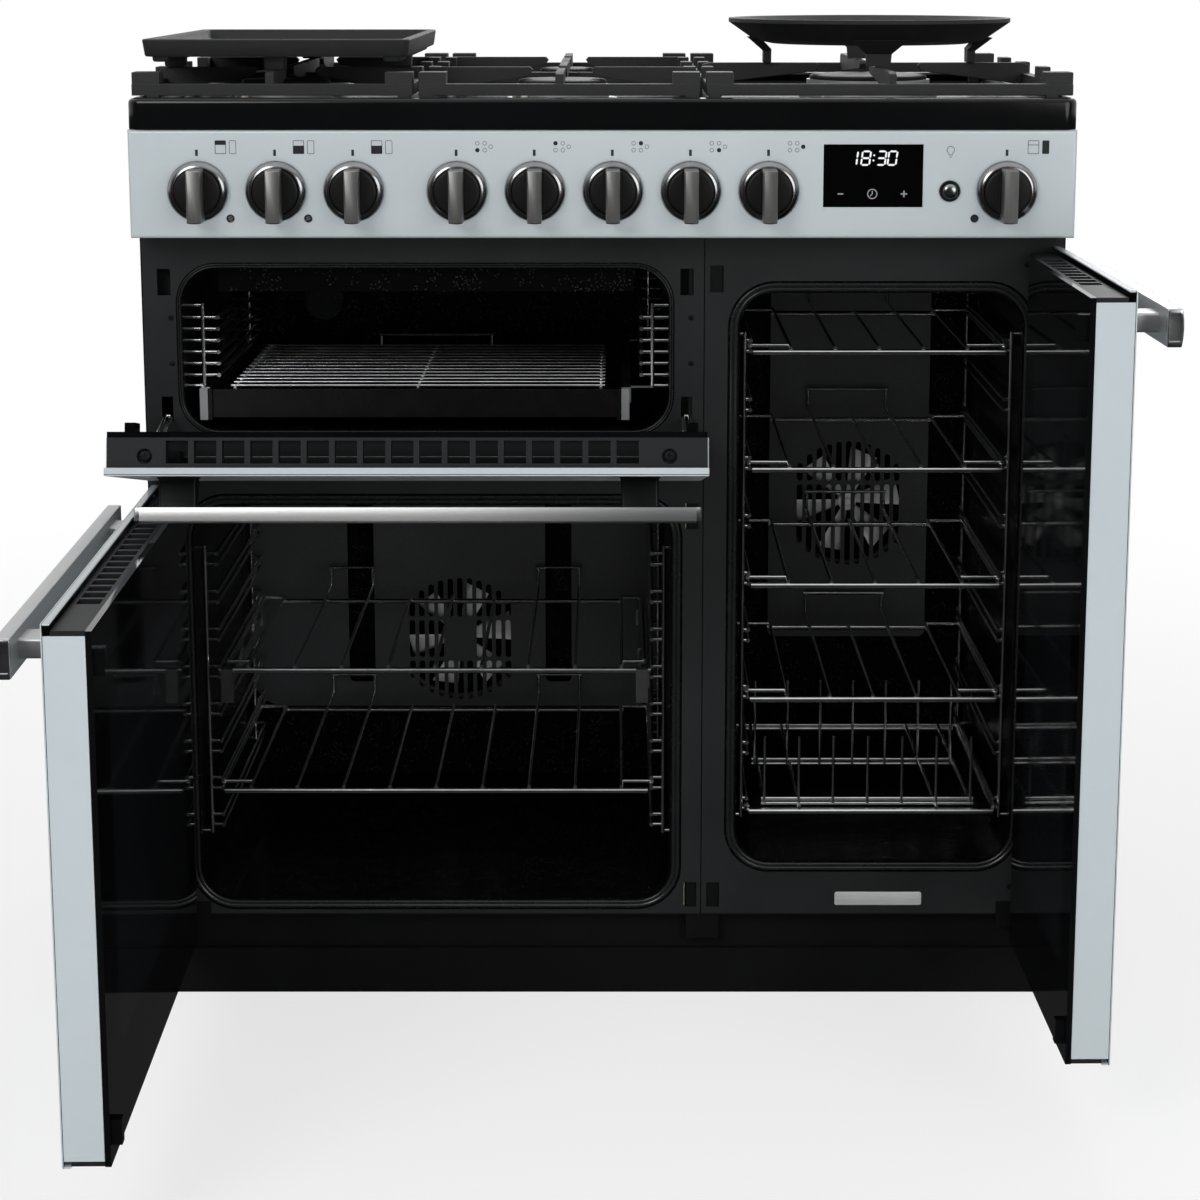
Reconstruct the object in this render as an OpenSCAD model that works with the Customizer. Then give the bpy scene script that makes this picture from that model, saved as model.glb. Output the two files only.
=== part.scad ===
// Free-standing dual-fuel range cooker with a grill and two ovens, standing with its doors open.
// Sizes are worked out from the control panel's face (Y = 0, +Y into the cooker) and the floor (Z = 0).

/* [Body] */
// Width of the hob and the control panel
cooker_w = 900; // [890:1:1000]
// Height of the hob's top edge above the floor
hob_z = 915; // [910:1:960]
// Depth from the panel's face to the back of the hob
depth = 600; // [600:1:660]
// Thickness of folded case sheet
sheet = 1.5; // [1:0.1:2]
// Position of the seam between the left and right front pressings, from the centre
seam_x = 99; // [80:1:110]
// Setback of the front frame's face behind the panel's face
frame_y = 42; // [42:0.5:50]
// Height of the front frame's lower edge
frame_z0 = 89; // [80:1:95]
// Height of the plinth's top
plinth_z = 49; // [40:1:55]
// Setback of the plinth's face behind the panel's face
plinth_y = 50; // [45:1:80]
// Gap between the plinth and the floor
plinth_gap = 1; // [0.5:0.5:5]
// Height of the carcass floor
base_z = 60; // [56:1:70]

/* [Control panel] */
// Height of the control panel
panel_h = 103; // [95:1:115]
// Thickness of the panel's sheet
panel_t = 2; // [1.5:0.1:3]
// Radius of the panel's upright edges
panel_edge_r = 3; // [1:0.5:6]
// Height of the knob axes above the panel's lower edge
knob_rise = 45; // [42:1:52]
// Pitch of neighbouring knobs
knob_pitch = 74; // [68:0.5:80]
// Distance of the outer knobs from the panel's ends
knob_end = 66; // [50:1:80]
// Position of the first burner knob, from the centre
burner_knob_x = -138; // [-150:1:-130]
// Radius of a knob's skirt
knob_r = 29; // [25:0.5:32]
// Reach of a knob in front of the panel
knob_reach = 32; // [26:1:40]
// Width of a knob's grip
grip_w = 13.5; // [10:0.5:18]
// Radius of a knob's spindle
spindle_r = 3; // [2.5:0.1:4]
// Running clearance of spindles, shafts and hinge pins, on the radius
run_gap = 0.06; // [0.03:0.01:0.1]
// Width of the clock's glass
clock_w = 94; // [80:1:100]
// Height of the clock's glass
clock_h = 59; // [50:1:62]
// Position of the clock's centre, from the centre
clock_x = 257; // [250:1:260]
// Position of the light button, from the centre
button_x = 330; // [325:1:332]
// Radius of the light button
button_r = 7.5; // [6:0.5:9]
// Travel of the light button
button_travel = 3; // [2:0.5:4]

/* [Hob] */
// Height of the hob's edge
hob_h = 30; // [26:1:34]
// Depth of the hob's well below its edge
well_depth = 12; // [8:1:15]
// Width of the hob's edge strip
hob_rim = 14; // [10:1:20]
// Radius of the large burner crowns
crown_r = 47; // [40:1:50]
// Radius of the small burner crowns
small_crown_r = 33; // [28:1:36]
// Radius of the wok burner's crown
wok_crown_r = 64; // [58:1:68]
// Height of a burner's crown above the well
crown_h = 18; // [14:1:20]
// Thickness of a burner's cap
cap_t = 4; // [3:0.5:6]
// Distance of the front burners from the panel's face
front_burner_y = 155; // [145:1:165]
// Distance of the rear burners from the panel's face
rear_burner_y = 435; // [420:1:445]
// Distance of the wok burner from the panel's face
wok_burner_y = 270; // [260:1:290]
// Width of a cast pan support bar
cast_w = 12; // [9:0.5:15]
// Height of a cast pan support bar
cast_h = 11; // [9:0.5:14]
// Height of the pan rest above the support bars
pan_rise = 11; // [8:0.5:14]
// Gap between neighbouring pan supports
support_gap = 6; // [4:0.5:10]
// Width of the griddle
griddle_w = 258; // [240:1:262]
// Depth of the griddle
griddle_d = 380; // [350:1:400]
// Height of the griddle's rim
griddle_h = 17; // [14:1:22]
// Height of the griddle's feet
griddle_foot = 13; // [10:1:18]
// Radius of the wok ring's rim
wok_rim_r = 146; // [135:1:150]
// Height of the wok ring above the pan rest
wok_h = 46; // [42:1:55]

/* [Doors] */
// Thickness of a door from its skin to its inner glass
door_t = 40; // [38:0.5:40]
// Thickness of a door's painted skin
skin_t = 1.5; // [1:0.1:2]
// Depth of a skin's top and bottom lips
lip_d = 7.5; // [6:0.5:9]
// Thickness of a door's inner glass
glass_t = 5; // [4:0.5:6]
// Height of the doors' lower edges
door_z0 = 79; // [78.5:0.5:85]
// Height of the left door's top edge
left_door_z1 = 534; // [520:1:534]
// Height of the grill door's hinge line
grill_pivot_z = 563; // [563:0.5:566]
// Gap between the control panel and the doors
panel_gap = 12; // [10:1:16]
// Gap between the two sides' doors
door_gap = 5; // [4:0.5:8]
// Distance of a hinge line from the door's hinge edge
hinge_edge = 21; // [19:0.5:21]
// Distance of the side hinge lines from the cooker's side
hinge_side = 25; // [25:0.5:28]
// Radius of a hinge pin
pin_r = 4; // [3:0.1:4.5]
// Angle of the open left door
left_open = 89; // [80:1:95]
// Angle of the open right door
right_open = 91; // [80:1:95]
// Angle of the open grill door
grill_open = 77.5; // [70:0.5:77.5]
// Height of a handle bar
handle_h = 33; // [28:1:36]
// Thickness of a handle bar
handle_t = 14; // [10:0.5:16]
// Finger gap behind a handle bar
handle_gap = 28; // [24:0.5:29]
// Distance of a handle's centre below the door's top
handle_drop = 33; // [30:1:40]
// Width of a handle bracket
bracket_w = 37; // [30:1:40]
// Height of a handle bracket
bracket_h = 18; // [14:1:22]
// Pitch of the vent slots in the side doors' tops
side_slot_pitch = 22; // [20:0.5:30]
// Pitch of the vent slots in the grill door's top
grill_slot_pitch = 25.3; // [22:0.1:32]

/* [Ovens and grill] */
// Thickness of enamelled liner sheet
liner_t = 1.5; // [1:0.1:2]
// Height of the left oven's floor
left_z0 = 105; // [103:1:115]
// Inside height of the left oven
left_h = 408; // [390:1:410]
// Height of the right oven's floor
right_z0 = 145; // [130:1:150]
// Inside height of the right oven
right_h = 579; // [560:1:585]
// Height of the grill compartment's floor
grill_z0 = 589; // [588:1:595]
// Inside height of the grill compartment
grill_h = 159; // [150:1:162]
// Corner radius of the liners
liner_r = 34; // [28:1:38]
// Depth of the ovens behind the front frame
oven_depth = 412; // [400:1:425]
// Width of an oven's door seal
seal_w = 8; // [6:0.5:9]
// Thickness of insulation blanket
wool_t = 14; // [10:1:15]
// Distance from a fan cover to the liner's back wall
fan_chamber = 34; // [32:1:38]
// Radius of a fan
fan_r = 62; // [55:1:66]
// Height of the left fan's axis
left_fan_z = 276; // [270:1:285]
// Height of the right fan's axis
right_fan_z = 435; // [425:1:445]
// Pitch of the fan cover's slot columns
slot_pitch = 11; // [10:0.5:13]
// Radius of shelf rail wire
rail_r = 3; // [2.5:0.1:3.2]
// Radius of shelf rod wire
rod_r = 1.8; // [1.5:0.1:2]
// Radius of side rack wire
rack_r = 2; // [1.8:0.1:2.2]
// Pitch of the left oven's shelf positions
left_pitch = 39; // [36:0.5:42]
// Pitch of the right oven's shelf positions
right_pitch = 59; // [55:0.5:60]
// Pitch of the left shelves' rods
left_rod_pitch = 47; // [42:0.5:50]
// Pitch of the right shelves' rods
right_rod_pitch = 43.4; // [40:0.1:44]

/* [Hidden] */
$fn = 48;
seam_turn = 37.5;

// Colours
black = "#17181a";
enamel = "#101113";
paint = "#b3bfc9";
steel = "#b9bbbc";
dark_steel = "#77797b";
cast = "#26272a";

// Case
half_w = cooker_w / 2;
case_x = half_w - 1;
inner_x = case_x - sheet;
back_y = depth - 2;
frame_back = frame_y + sheet;
panel_z1 = hob_z - hob_h;
panel_z0 = panel_z1 - panel_h;
seam_gap = 1;
apron_y = plinth_y + 5;
foot_x = half_w - 50;
foot_y = 95;
foot_pad_r = 18;
foot_stem_r = 5;
roller_r = 22;
roller_w = 20;
roller_x = half_w - 75;
roller_y = depth - 60;
axle_r = 5;
seat_gap = 0.3;

// Liners, as [left, right, floor, top, seal width]
side_wall = 44;
left_x0 = -half_w + side_wall;
left_x1 = seam_x - 32;
right_x0 = seam_x + 35;
right_x1 = half_w - 40;
seal_margin = 2;
left_box = [left_x0, left_x1, left_z0, left_z0 + left_h, seal_w];
right_box = [right_x0, right_x1, right_z0, right_z0 + right_h, seal_w];
grill_box = [left_x0 - 4, left_x1 - 3, grill_z0, grill_z0 + grill_h, seal_w / 2];
flange_y = frame_back;
oven_y1 = frame_back + oven_depth;
cover_y = oven_y1 - fan_chamber;
left_fan_x = (left_x0 + left_x1) / 2 + 3.5;
right_fan_x = (right_x0 + right_x1) / 2 + 5;
cover_t = 1.2;
shaft_r = 3;
motor_hole_r = 9;
ring_r = 84;
element_r = 3.2;

// Racks and shelves
rack_y0 = 72;
rack_y1 = 392;
left_guide = 18;
right_guide = 12;
grill_guide = 30;
grill_post = 15;
guide_half = 5.5;
shelf_y0 = 60;
shelf_y1 = 346;
stop_y = 405;
rod_rise = rail_r + rod_r - 0.5;
left_rack_z = [for (i = [0:7]) left_z0 + 74 + left_pitch * i];
right_levels = floor((right_h - 106) / right_pitch);
right_rack_z = [for (i = [0:right_levels]) right_z0 + 51 + right_pitch * i];
grill_rack_z = [for (i = [0:5]) grill_z0 + 50 + 11.5 * i];
lower_shelf_z = left_rack_z[1];
slide_z = left_rack_z[4] - 9;
slide_h = 12;
slide_w = 8;
slide_wall = 1.5;
slide_len = 260;
plate_w = 12;
pan_x0 = grill_box[0] + 22;
pan_x1 = grill_box[1] - 46;
pan_y0 = 50;
pan_y1 = 350;
pan_z0 = grill_z0 + 11;
pan_z1 = grill_z0 + 39;
pan_t = 1.2;
pan_slide_z = pan_z1 - 9;
pan_rail_top = pan_slide_z + slide_h / 2 + seat_gap + slide_wall;

// Doors
pivot_x = half_w - hinge_side;
pivot_y = door_t / 2;
half_t = door_t / 2;
door_top = panel_z0 - panel_gap;
left_reach = seam_x - door_gap / 2 + pivot_x;
right_reach = pivot_x - seam_x - door_gap / 2;
grill_x0 = -pivot_x - hinge_edge;
grill_x1 = seam_x - door_gap / 2;
grill_top = door_top - grill_pivot_z;
hinge_wall = half_t - 16;
liner_u = 30;
trim_h = 12;
trim_drop = 6;
tab_t = 3;
tab_w = 16;
tab_drop = 34;
block_half = 9;
leg_t = 1.5;
low_leg_w = 38;
leg_h = 26;
leg_out = 12;
top_leg_w = leg_out + pivot_x - max(right_x1, -left_x0) - seal_w - seal_margin - 1.5;
catch_w = 10;
catch_h = 22;
catch_d = 9;
stay_u = 48;
stay_v = 14;
stay_wire = 1.8;
stay_half = 3.2;
stay_eye = 2;
stay_ear = stay_half + stay_wire + seat_gap + 0.4;
stay_len = 74;
stay_left = -pivot_x - 2;
stay_right = grill_box[1] + 18;
stay_angle = 12.3;

// Hob
well_z = hob_z - well_depth;
well_x = half_w - hob_rim;
bar_z0 = hob_z + 1;
bar_z1 = bar_z0 + cast_h;
rest_z = bar_z1 + pan_rise;
support_x = [-half_w + 2, seam_x - 280, seam_x - 280 + support_gap, seam_x - support_gap, seam_x, half_w - 2];
support_y0 = 20;
support_y1 = depth - 30;
left_burner_x = (support_x[0] + support_x[1]) / 2 - 3;
centre_burner_x = (support_x[2] + support_x[3]) / 2;
wok_burner_x = (support_x[4] + support_x[5]) / 2 + 3;
// Burners, as [x, y, crown radius]
burners = [
    [left_burner_x, front_burner_y, crown_r],
    [left_burner_x, rear_burner_y, small_crown_r],
    [centre_burner_x, rear_burner_y, small_crown_r],
    [centre_burner_x, front_burner_y, crown_r],
    [wok_burner_x, wok_burner_y, wok_crown_r]
];
griddle_y0 = 50;
wok_ring_x = wok_burner_x;

// Control panel
knob_z = panel_z0 + knob_rise;
oven_knob_x = [for (i = [0:2]) -half_w + knob_end + knob_pitch * i];
all_oven_knobs = concat(oven_knob_x, [half_w - knob_end]);
burner_knobs = [for (i = [0:4]) burner_knob_x + knob_pitch * i];
neon_x = [oven_knob_x[0] + 30, oven_knob_x[1] + 30, half_w - knob_end - 30];
neon_z = knob_z - 26;
neon_r = 3;
clock_z = knob_z + 14.5;
spindle_len = 38;
gear_y = 12;
rail_y = 62;
pipe_r = 3;
inlet_x = -half_w + 28;
inlet_r = 10.4;

// The origin is on the floor below the middle of the open cooker's outline
free_end_y = pivot_y - left_reach * sin(left_open) - half_t * cos(left_open);
outlet_y = depth + 14;
mid_y = (free_end_y + outlet_y) / 2;

// Plain solids, given by their limits
module box(x0, x1, y0, y1, z0, z1) translate([x0, y0, z0]) cube([x1 - x0, y1 - y0, z1 - z0]);

// Round bars along an axis; turn keeps a bar's seam away from the bars that cross it
module wire_x(x0, x1, y, z, r, turn = 0)
    translate([x0, y, z]) rotate([0, 90, 0]) rotate(turn) cylinder(h = x1 - x0, r = r);

module wire_y(x, y0, y1, z, r, turn = 0)
    translate([x, y0, z]) rotate([-90, 0, 0]) rotate(turn) cylinder(h = y1 - y0, r = r);

module wire_z(x, y, z0, z1, r, turn = 0)
    translate([x, y, z0]) rotate(turn) cylinder(h = z1 - z0, r = r);

module along_y(y0, y1) translate([0, y1, 0]) rotate([90, 0, 0]) linear_extrude(y1 - y0) children();

module along_x(x0, x1) translate([x0, 0, 0]) rotate([90, 0, 90]) linear_extrude(x1 - x0) children();

module round_rect(x0, x1, z0, z1, r) {
    translate([x0 + r, z0]) square([x1 - x0 - 2 * r, z1 - z0]);
    translate([x0, z0 + r]) square([x1 - x0, z1 - z0 - 2 * r]);
    for (x = [x0 + r, x1 - r], z = [z0 + r, z1 - r]) translate([x, z]) circle(r);
}

// Outline of a liner's mouth, grown by a margin
module mouth(b, grow) round_rect(b[0] - grow, b[1] + grow, b[2] - grow, b[3] + grow, liner_r + grow);

// Width of the sealing band around a liner's mouth
function band(b) = b[4] + 2 * seal_margin * b[4] / seal_w;

// Case

module side_panels() color(black) for (side = [-1, 1]) scale([side, 1, 1]) {
    box(inner_x, case_x, frame_y, back_y, plinth_z, panel_z1);
    box(inner_x - 12, inner_x, frame_back + 8, back_y, panel_z1 - sheet, panel_z1);
    box(inner_x - 12, inner_x, plinth_y + 30, back_y, plinth_z, plinth_z + sheet);
}

module back_panel() color(dark_steel) {
    difference() {
        box(-inner_x, inner_x, back_y - sheet, back_y, base_z + sheet, panel_z1 - sheet);
        for (x = [-240, 60], row = [0:5])
            box(x, x + 170, back_y - 3, back_y + 1, 560 + 26 * row, 566 + 26 * row);
        wire_y(inlet_x, back_y - 3, back_y + 1, knob_z, inlet_r + 2);
        box(half_w - 160, half_w - 60, back_y - 3, back_y + 1, 200, 280);
    }
    difference() {
        box(half_w - 170, half_w - 50, back_y, back_y + sheet, 190, 290);
        wire_y(half_w - 110, back_y - 1, back_y + 3, 215, 11);
    }
    difference() {
        union() {
            wire_y(half_w - 110, back_y - 8, outlet_y, 215, 11);
            wire_y(half_w - 110, back_y + sheet, back_y + 6, 215, 14);
        }
        wire_y(half_w - 110, back_y - 9, outlet_y + 1, 215, 7);
    }
    for (x = [-inner_x + 10, 0, inner_x - 10], z = [90, 480, panel_z1 - 20])
        wire_y(x, back_y, back_y + 2.5, z, 4);
}

module base_tray() color(black) {
    box(-inner_x, inner_x, apron_y, back_y - sheet, base_z, base_z + sheet);
    box(-inner_x, inner_x, apron_y, apron_y + sheet, plinth_z, frame_z0);
    box(-inner_x, inner_x, frame_y, apron_y, frame_z0 - sheet, frame_z0);
    difference() {
        for (x = [-roller_x, roller_x], d = [-16, 13])
            box(x + d, x + d + 3, roller_y - 14, roller_y + 14, roller_r - 10, base_z);
        wire_x(-half_w, half_w, roller_y, roller_r, axle_r + run_gap);
    }
    for (p = [[left_fan_x, left_z0], [right_fan_x, right_z0]])
        box(p[0] - 15, p[0] + 15, 300, 420, base_z + sheet, p[1] - liner_t - wool_t);
}

module frame_plate(x0, x1, holes) along_y(frame_y, frame_back) difference() {
    translate([x0, frame_z0]) square([x1 - x0, panel_z0 + sheet - frame_z0]);
    for (b = holes) mouth(b, band(b));
    children();
}

module catch_hole(x, z) translate([x - catch_w / 2 - 1.5, z - catch_h / 2 - 2])
    square([catch_w + 3, catch_h + 4]);

module front_frame() color(enamel) {
    frame_plate(-inner_x, seam_x - seam_gap / 2, [left_box, grill_box]) {
        for (z = side_catch_z(left_door_z1)) catch_hole(catch_x(-1), z);
        for (x = [stay_left, stay_right]) {
            catch_hole(x, grill_pivot_z + grill_catch_u);
            translate([x - stay_half - stay_wire - 0.5, grill_pivot_z + 35]) square([2 * stay_half + 2 * stay_wire + 1, 24]);
        }
    }
    frame_plate(seam_x + seam_gap / 2, inner_x, [right_box])
        for (z = side_catch_z(door_top)) catch_hole(catch_x(1), z);
}

// Where the catches of a side door meet the frame
function side_catch_z(top) = [door_z0 + 30, top - 32];
function catch_x(side) = side < 0 ? seam_x - 11 : seam_x + 12;
grill_catch_u = 172;

module plinth() color(black) {
    box(-case_x, case_x, plinth_y, plinth_y + sheet, plinth_gap, plinth_z);
    box(-case_x, case_x, plinth_y, plinth_y + 24, plinth_z - sheet, plinth_z);
    for (side = [-1, 1]) scale([side, 1, 1])
        box(case_x - sheet, case_x, plinth_y, plinth_y + 40, plinth_gap, plinth_z);
}

module levelling_feet() color(dark_steel) for (x = [-foot_x, foot_x]) {
    wire_z(x, foot_y, 0, 8, foot_pad_r);
    wire_z(x, foot_y, 8, base_z, foot_stem_r);
    translate([x, foot_y, base_z - 9]) cylinder(h = 9, r = 10, $fn = 6);
}

module rear_rollers() color(dark_steel) {
    wire_x(-roller_x - 22, roller_x + 22, roller_y, roller_r, axle_r);
    for (x = [-roller_x, roller_x]) wire_x(x - roller_w / 2, x + roller_w / 2, roller_y, roller_r, roller_r);
}

// Liners

module liner_shell(b, y1) {
    along_y(flange_y, y1) difference() {
        mouth(b, liner_t);
        mouth(b, 0);
    }
    along_y(flange_y, flange_y + liner_t) difference() {
        mouth(b, band(b) + 3);
        mouth(b, liner_t);
    }
}

module left_oven_liner() color(enamel) {
    liner_shell(left_box, oven_y1);
    along_y(oven_y1, oven_y1 + liner_t) difference() {
        mouth(left_box, liner_t);
        translate([left_fan_x, left_fan_z]) circle(motor_hole_r);
    }
    box(left_x0 + 100, left_x1 - 100, oven_y1 + liner_t, back_y - sheet, left_z0 + left_h - 60, left_z0 + left_h - 45);
}

module right_oven_liner() color(enamel) {
    liner_shell(right_box, oven_y1);
    along_y(oven_y1, oven_y1 + liner_t) difference() {
        mouth(right_box, liner_t);
        translate([right_fan_x, right_fan_z]) circle(motor_hole_r);
    }
    box(right_x0 + 70, right_x1 - 70, oven_y1 + liner_t, back_y - sheet, right_z0 + right_h - 60, right_z0 + right_h - 45);
}

module grill_liner() color(enamel) {
    liner_shell(grill_box, oven_y1);
    along_y(oven_y1, oven_y1 + liner_t) mouth(grill_box, liner_t);
    box(grill_box[0] + liner_r, grill_box[1] - liner_r, 58, 58 + liner_t, grill_box[3] - 24, grill_box[3]);
}

module blanket(b, hole_x, hole_z, hole_r) {
    y0 = flange_y + liner_t + 2;
    y1 = oven_y1 + liner_t;
    difference() {
        box(b[0] - liner_t - wool_t, b[1] + liner_t + wool_t, y0, y1 + wool_t,
            b[2] - liner_t - wool_t, b[3] + liner_t + wool_t);
        box(b[0] - liner_t, b[1] + liner_t, y0 - 1, y1, b[2] - liner_t, b[3] + liner_t);
        wire_y(hole_x, y1 - 1, y1 + wool_t + 1, hole_z, hole_r);
        box(b[0] + 60, b[1] - 60, y1 - 1, y1 + wool_t + 1, b[3] - 65, b[3] - 40);
    }
}

module insulation() color("#c9c3a6") {
    blanket(left_box, left_fan_x, left_fan_z, motor_r + 3);
    blanket(right_box, right_fan_x, right_fan_z, motor_r + 3);
    y1 = oven_y1 + liner_t;
    b = grill_box;
    box(b[0], b[1], flange_y + 6, y1, b[3] + liner_t, b[3] + liner_t + wool_t - 2);
    box(b[0], b[1], y1, y1 + wool_t, b[2], b[3]);
}

module door_seals() color("#2b2b2d") for (b = [left_box, right_box, grill_box]) {
    inset = seal_margin * b[4] / seal_w;
    along_y(frame_y - 1.7, flange_y) difference() {
        mouth(b, inset + b[4]);
        mouth(b, inset);
    }
}

// Fans and elements

module fan_slots(x, z, centre_slots) {
    reach = fan_r + 10;
    w = 6.5;
    for (i = [-6:6]) if (abs(slot_pitch * i) < reach - 6) {
        half = sqrt(reach * reach - slot_pitch * slot_pitch * i * i);
        mid = min(22, half);
        if (centre_slots || abs(i) > 1) slot(x + slot_pitch * i, z - mid, z + mid, w);
        if (half > 36) for (s = [0, 1]) translate([0, z]) mirror([0, s]) slot(x + slot_pitch * i, 26, half, w);
    }
}

module slot(x, z0, z1, w) {
    translate([x - w / 2, z0 + w / 2]) square([w, z1 - z0 - w]);
    for (z = [z0 + w / 2, z1 - w / 2]) translate([x, z]) circle(w / 2);
}

// Pressed cover whose two side flanges end below its corner radius
module fan_cover(x, x0, x1, z0, z1, fan_z, r, centre_slots) {
    along_y(cover_y, cover_y + cover_t) difference() {
        round_rect(x0, x1, z0, z1, r);
        fan_slots(x, fan_z, centre_slots);
        children();
    }
    for (e = [x0, x1 - cover_t]) box(e, e + cover_t, cover_y, oven_y1, z0 + r, z1 - r);
}

module fan_covers() color("#55585a") {
    fan_cover(left_fan_x, left_x0 + 2, left_x1 - 2, left_z0 + 91, left_z0 + left_h - 2, left_fan_z,
        liner_r, false)
        for (s = [-1, 1]) round_rect(left_fan_x + s * 113 - 15, left_fan_x + s * 113 + 15,
            left_z0 + 120, left_z0 + left_h - 40, 6);
    fan_cover(right_fan_x, right_fan_x - 90, right_fan_x + 90, right_z0 + 134, right_z0 + right_h - 34, right_fan_z,
        8, true);
}

motor_r = 38;
fan_list = [[left_fan_x, left_fan_z], [right_fan_x, right_fan_z]];

module fan_motors() color(dark_steel) for (f = fan_list) difference() {
    union() {
        wire_y(f[0], oven_y1 + liner_t + 8, oven_y1 + liner_t + 62, f[1], motor_r);
        for (a = [45:90:315]) translate([f[0] + 30 * cos(a), 0, f[1] + 30 * sin(a)])
            wire_y(0, oven_y1 + liner_t, oven_y1 + liner_t + 10, 0, 3);
    }
    wire_y(f[0], oven_y1, oven_y1 + liner_t + 50, f[1], shaft_r + run_gap);
}

module fan(f) color(steel) {
    y0 = cover_y + cover_t + 5;
    translate([f[0], 0, f[1]]) {
        wire_y(0, y0 + 2, oven_y1 + liner_t + 46, 0, shaft_r);
        wire_y(0, y0, y0 + 20, 0, 10);
        wire_y(0, y0 + 19, y0 + 20.2, 0, fan_r);
        for (a = [0:60:300]) rotate([0, a, 0]) box(8, fan_r - 1, y0, y0 + 20, -0.8, 0.8);
    }
}

module left_fan() fan(fan_list[0]);

module right_fan() fan(fan_list[1]);

module ring(x, y, z, r) translate([x, y, z]) rotate([90, 0, 0]) rotate_extrude() translate([r, 0]) circle(element_r, $fn = 24);

module heating_elements() color("#5a5450") {
    for (f = fan_list) {
        ring(f[0], oven_y1 - 12, f[1], fan_r + 12);
        for (s = [-8, 8]) wire_y(f[0] + s, oven_y1 - 12, oven_y1, f[1] + fan_r + 11.5, 2.5);
    }
    b = grill_box;
    z = b[3] - 14;
    runs = 6;
    step = 52;
    for (i = [0:runs - 1]) wire_x(b[0] + 60, b[1] - 60, 100 + step * i, z, element_r);
    for (i = [0:runs - 2]) {
        right = i % 2 == 0;
        translate([right ? b[1] - 60 : b[0] + 60, 100 + step * (i + 0.5), z]) rotate([0, 0, right ? -90 : 90])
            rotate_extrude(angle = 180) translate([step / 2, 0]) circle(element_r, $fn = 24);
    }
    for (x = [b[0] + 60, b[1] - 60]) wire_z(x, 100, z, b[3], 2.5);
    for (x = [b[0] + 60, b[1] - 60]) wire_z(x, 100 + step * (runs - 1), z, b[3], 2.5);
}

// Racks and shelves

module rack(wall, dir, post, guide, zs, z0, double, from_wall) {
    spread = double ? guide_half : 0;
    z1 = zs[len(zs) - 1] + 14;
    for (y = [rack_y0, rack_y1]) {
        wire_z(wall + dir * post, y, z0, z1, rack_r + 0.4, seam_turn);
        for (z = [z0 + 2, z1 - 2])
            wire_x(min(wall, wall + dir * post), max(wall, wall + dir * post), y, z, rack_r,
                seam_turn);
    }
    for (z = zs, s = double ? [-1, 1] : [0]) {
        wire_y(wall + dir * guide, rack_y0 - 2, rack_y1 + 2, z + s * spread, rack_r,
            seam_turn);
        start = from_wall ? wall : wall + dir * post;
        for (y = [rack_y0, rack_y1]) wire_x(min(start, wall + dir * guide), max(start, wall + dir * guide), y,
            z + s * spread, rack_r - 0.2, seam_turn);
    }
}

// Open channel of a telescopic rail: outer face, side it opens to, and height of its middle
module channel(x, dir, z, y1) scale([dir, 1, 1]) {
    outer = dir * x;
    h = slide_h / 2 + seat_gap;
    box(outer, outer + slide_wall, rack_y0 - 2, y1, z - h - slide_wall, z + h + slide_wall);
    for (e = [z - h - slide_wall, z + h]) box(outer, outer + slide_wall + slide_w, rack_y0 - 2, y1, e, e + slide_wall);
}

module side_racks() color(steel) {
    rack(left_x0, 1, 6, left_guide, left_rack_z, left_rack_z[0] - 14, true, false);
    rack(left_x1, -1, 6, left_guide, left_rack_z, left_rack_z[0] - 14, true, false);
    rack(right_x0, 1, 6, right_guide, right_rack_z, right_rack_z[0] - 14, true, false);
    rack(right_x1, -1, 6, right_guide, right_rack_z, right_rack_z[0] - 14, true, false);
    rack(grill_box[0], 1, grill_post, grill_guide, grill_rack_z, pan_rail_top - 0.7, false, true);
    rack(grill_box[1], -1, grill_post, grill_guide - 4, grill_rack_z, pan_rail_top - 0.7, false, true);
    left_rail_hooks();
    grill_rail_hooks();
}

left_channel = [left_x0 + left_guide + rack_r + seat_gap, left_x1 - left_guide - rack_r - seat_gap];
pan_channel = [pan_x0 - slide_w - slide_wall - seat_gap, pan_x1 + slide_w + slide_wall + seat_gap];

module left_rail_hooks() {
    z = left_rack_z[4];
    for (i = [0, 1]) {
        dir = i == 0 ? 1 : -1;
        channel(left_channel[i], dir, slide_z, rack_y1 - 20);
        for (y = [110, 340]) {
            scale([dir, 1, 1]) box(dir * left_channel[i] - 5, dir * left_channel[i] + slide_wall, y, y + 12,
                z - guide_half - rack_r - 1.2, z - guide_half - rack_r + 0.3);
        }
    }
}

module grill_rail_hooks() {
    posts = [grill_box[0] + grill_post, grill_box[1] - grill_post];
    for (i = [0, 1]) {
        channel(pan_channel[i], i == 0 ? 1 : -1, pan_slide_z, rack_y1 + 4);
        for (y = [rack_y0, rack_y1])
            box(min(posts[i], pan_channel[i]), max(posts[i], pan_channel[i]), y - 3, y + 3,
                pan_rail_top - 0.5, pan_rail_top + 1.5);
    }
}

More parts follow.
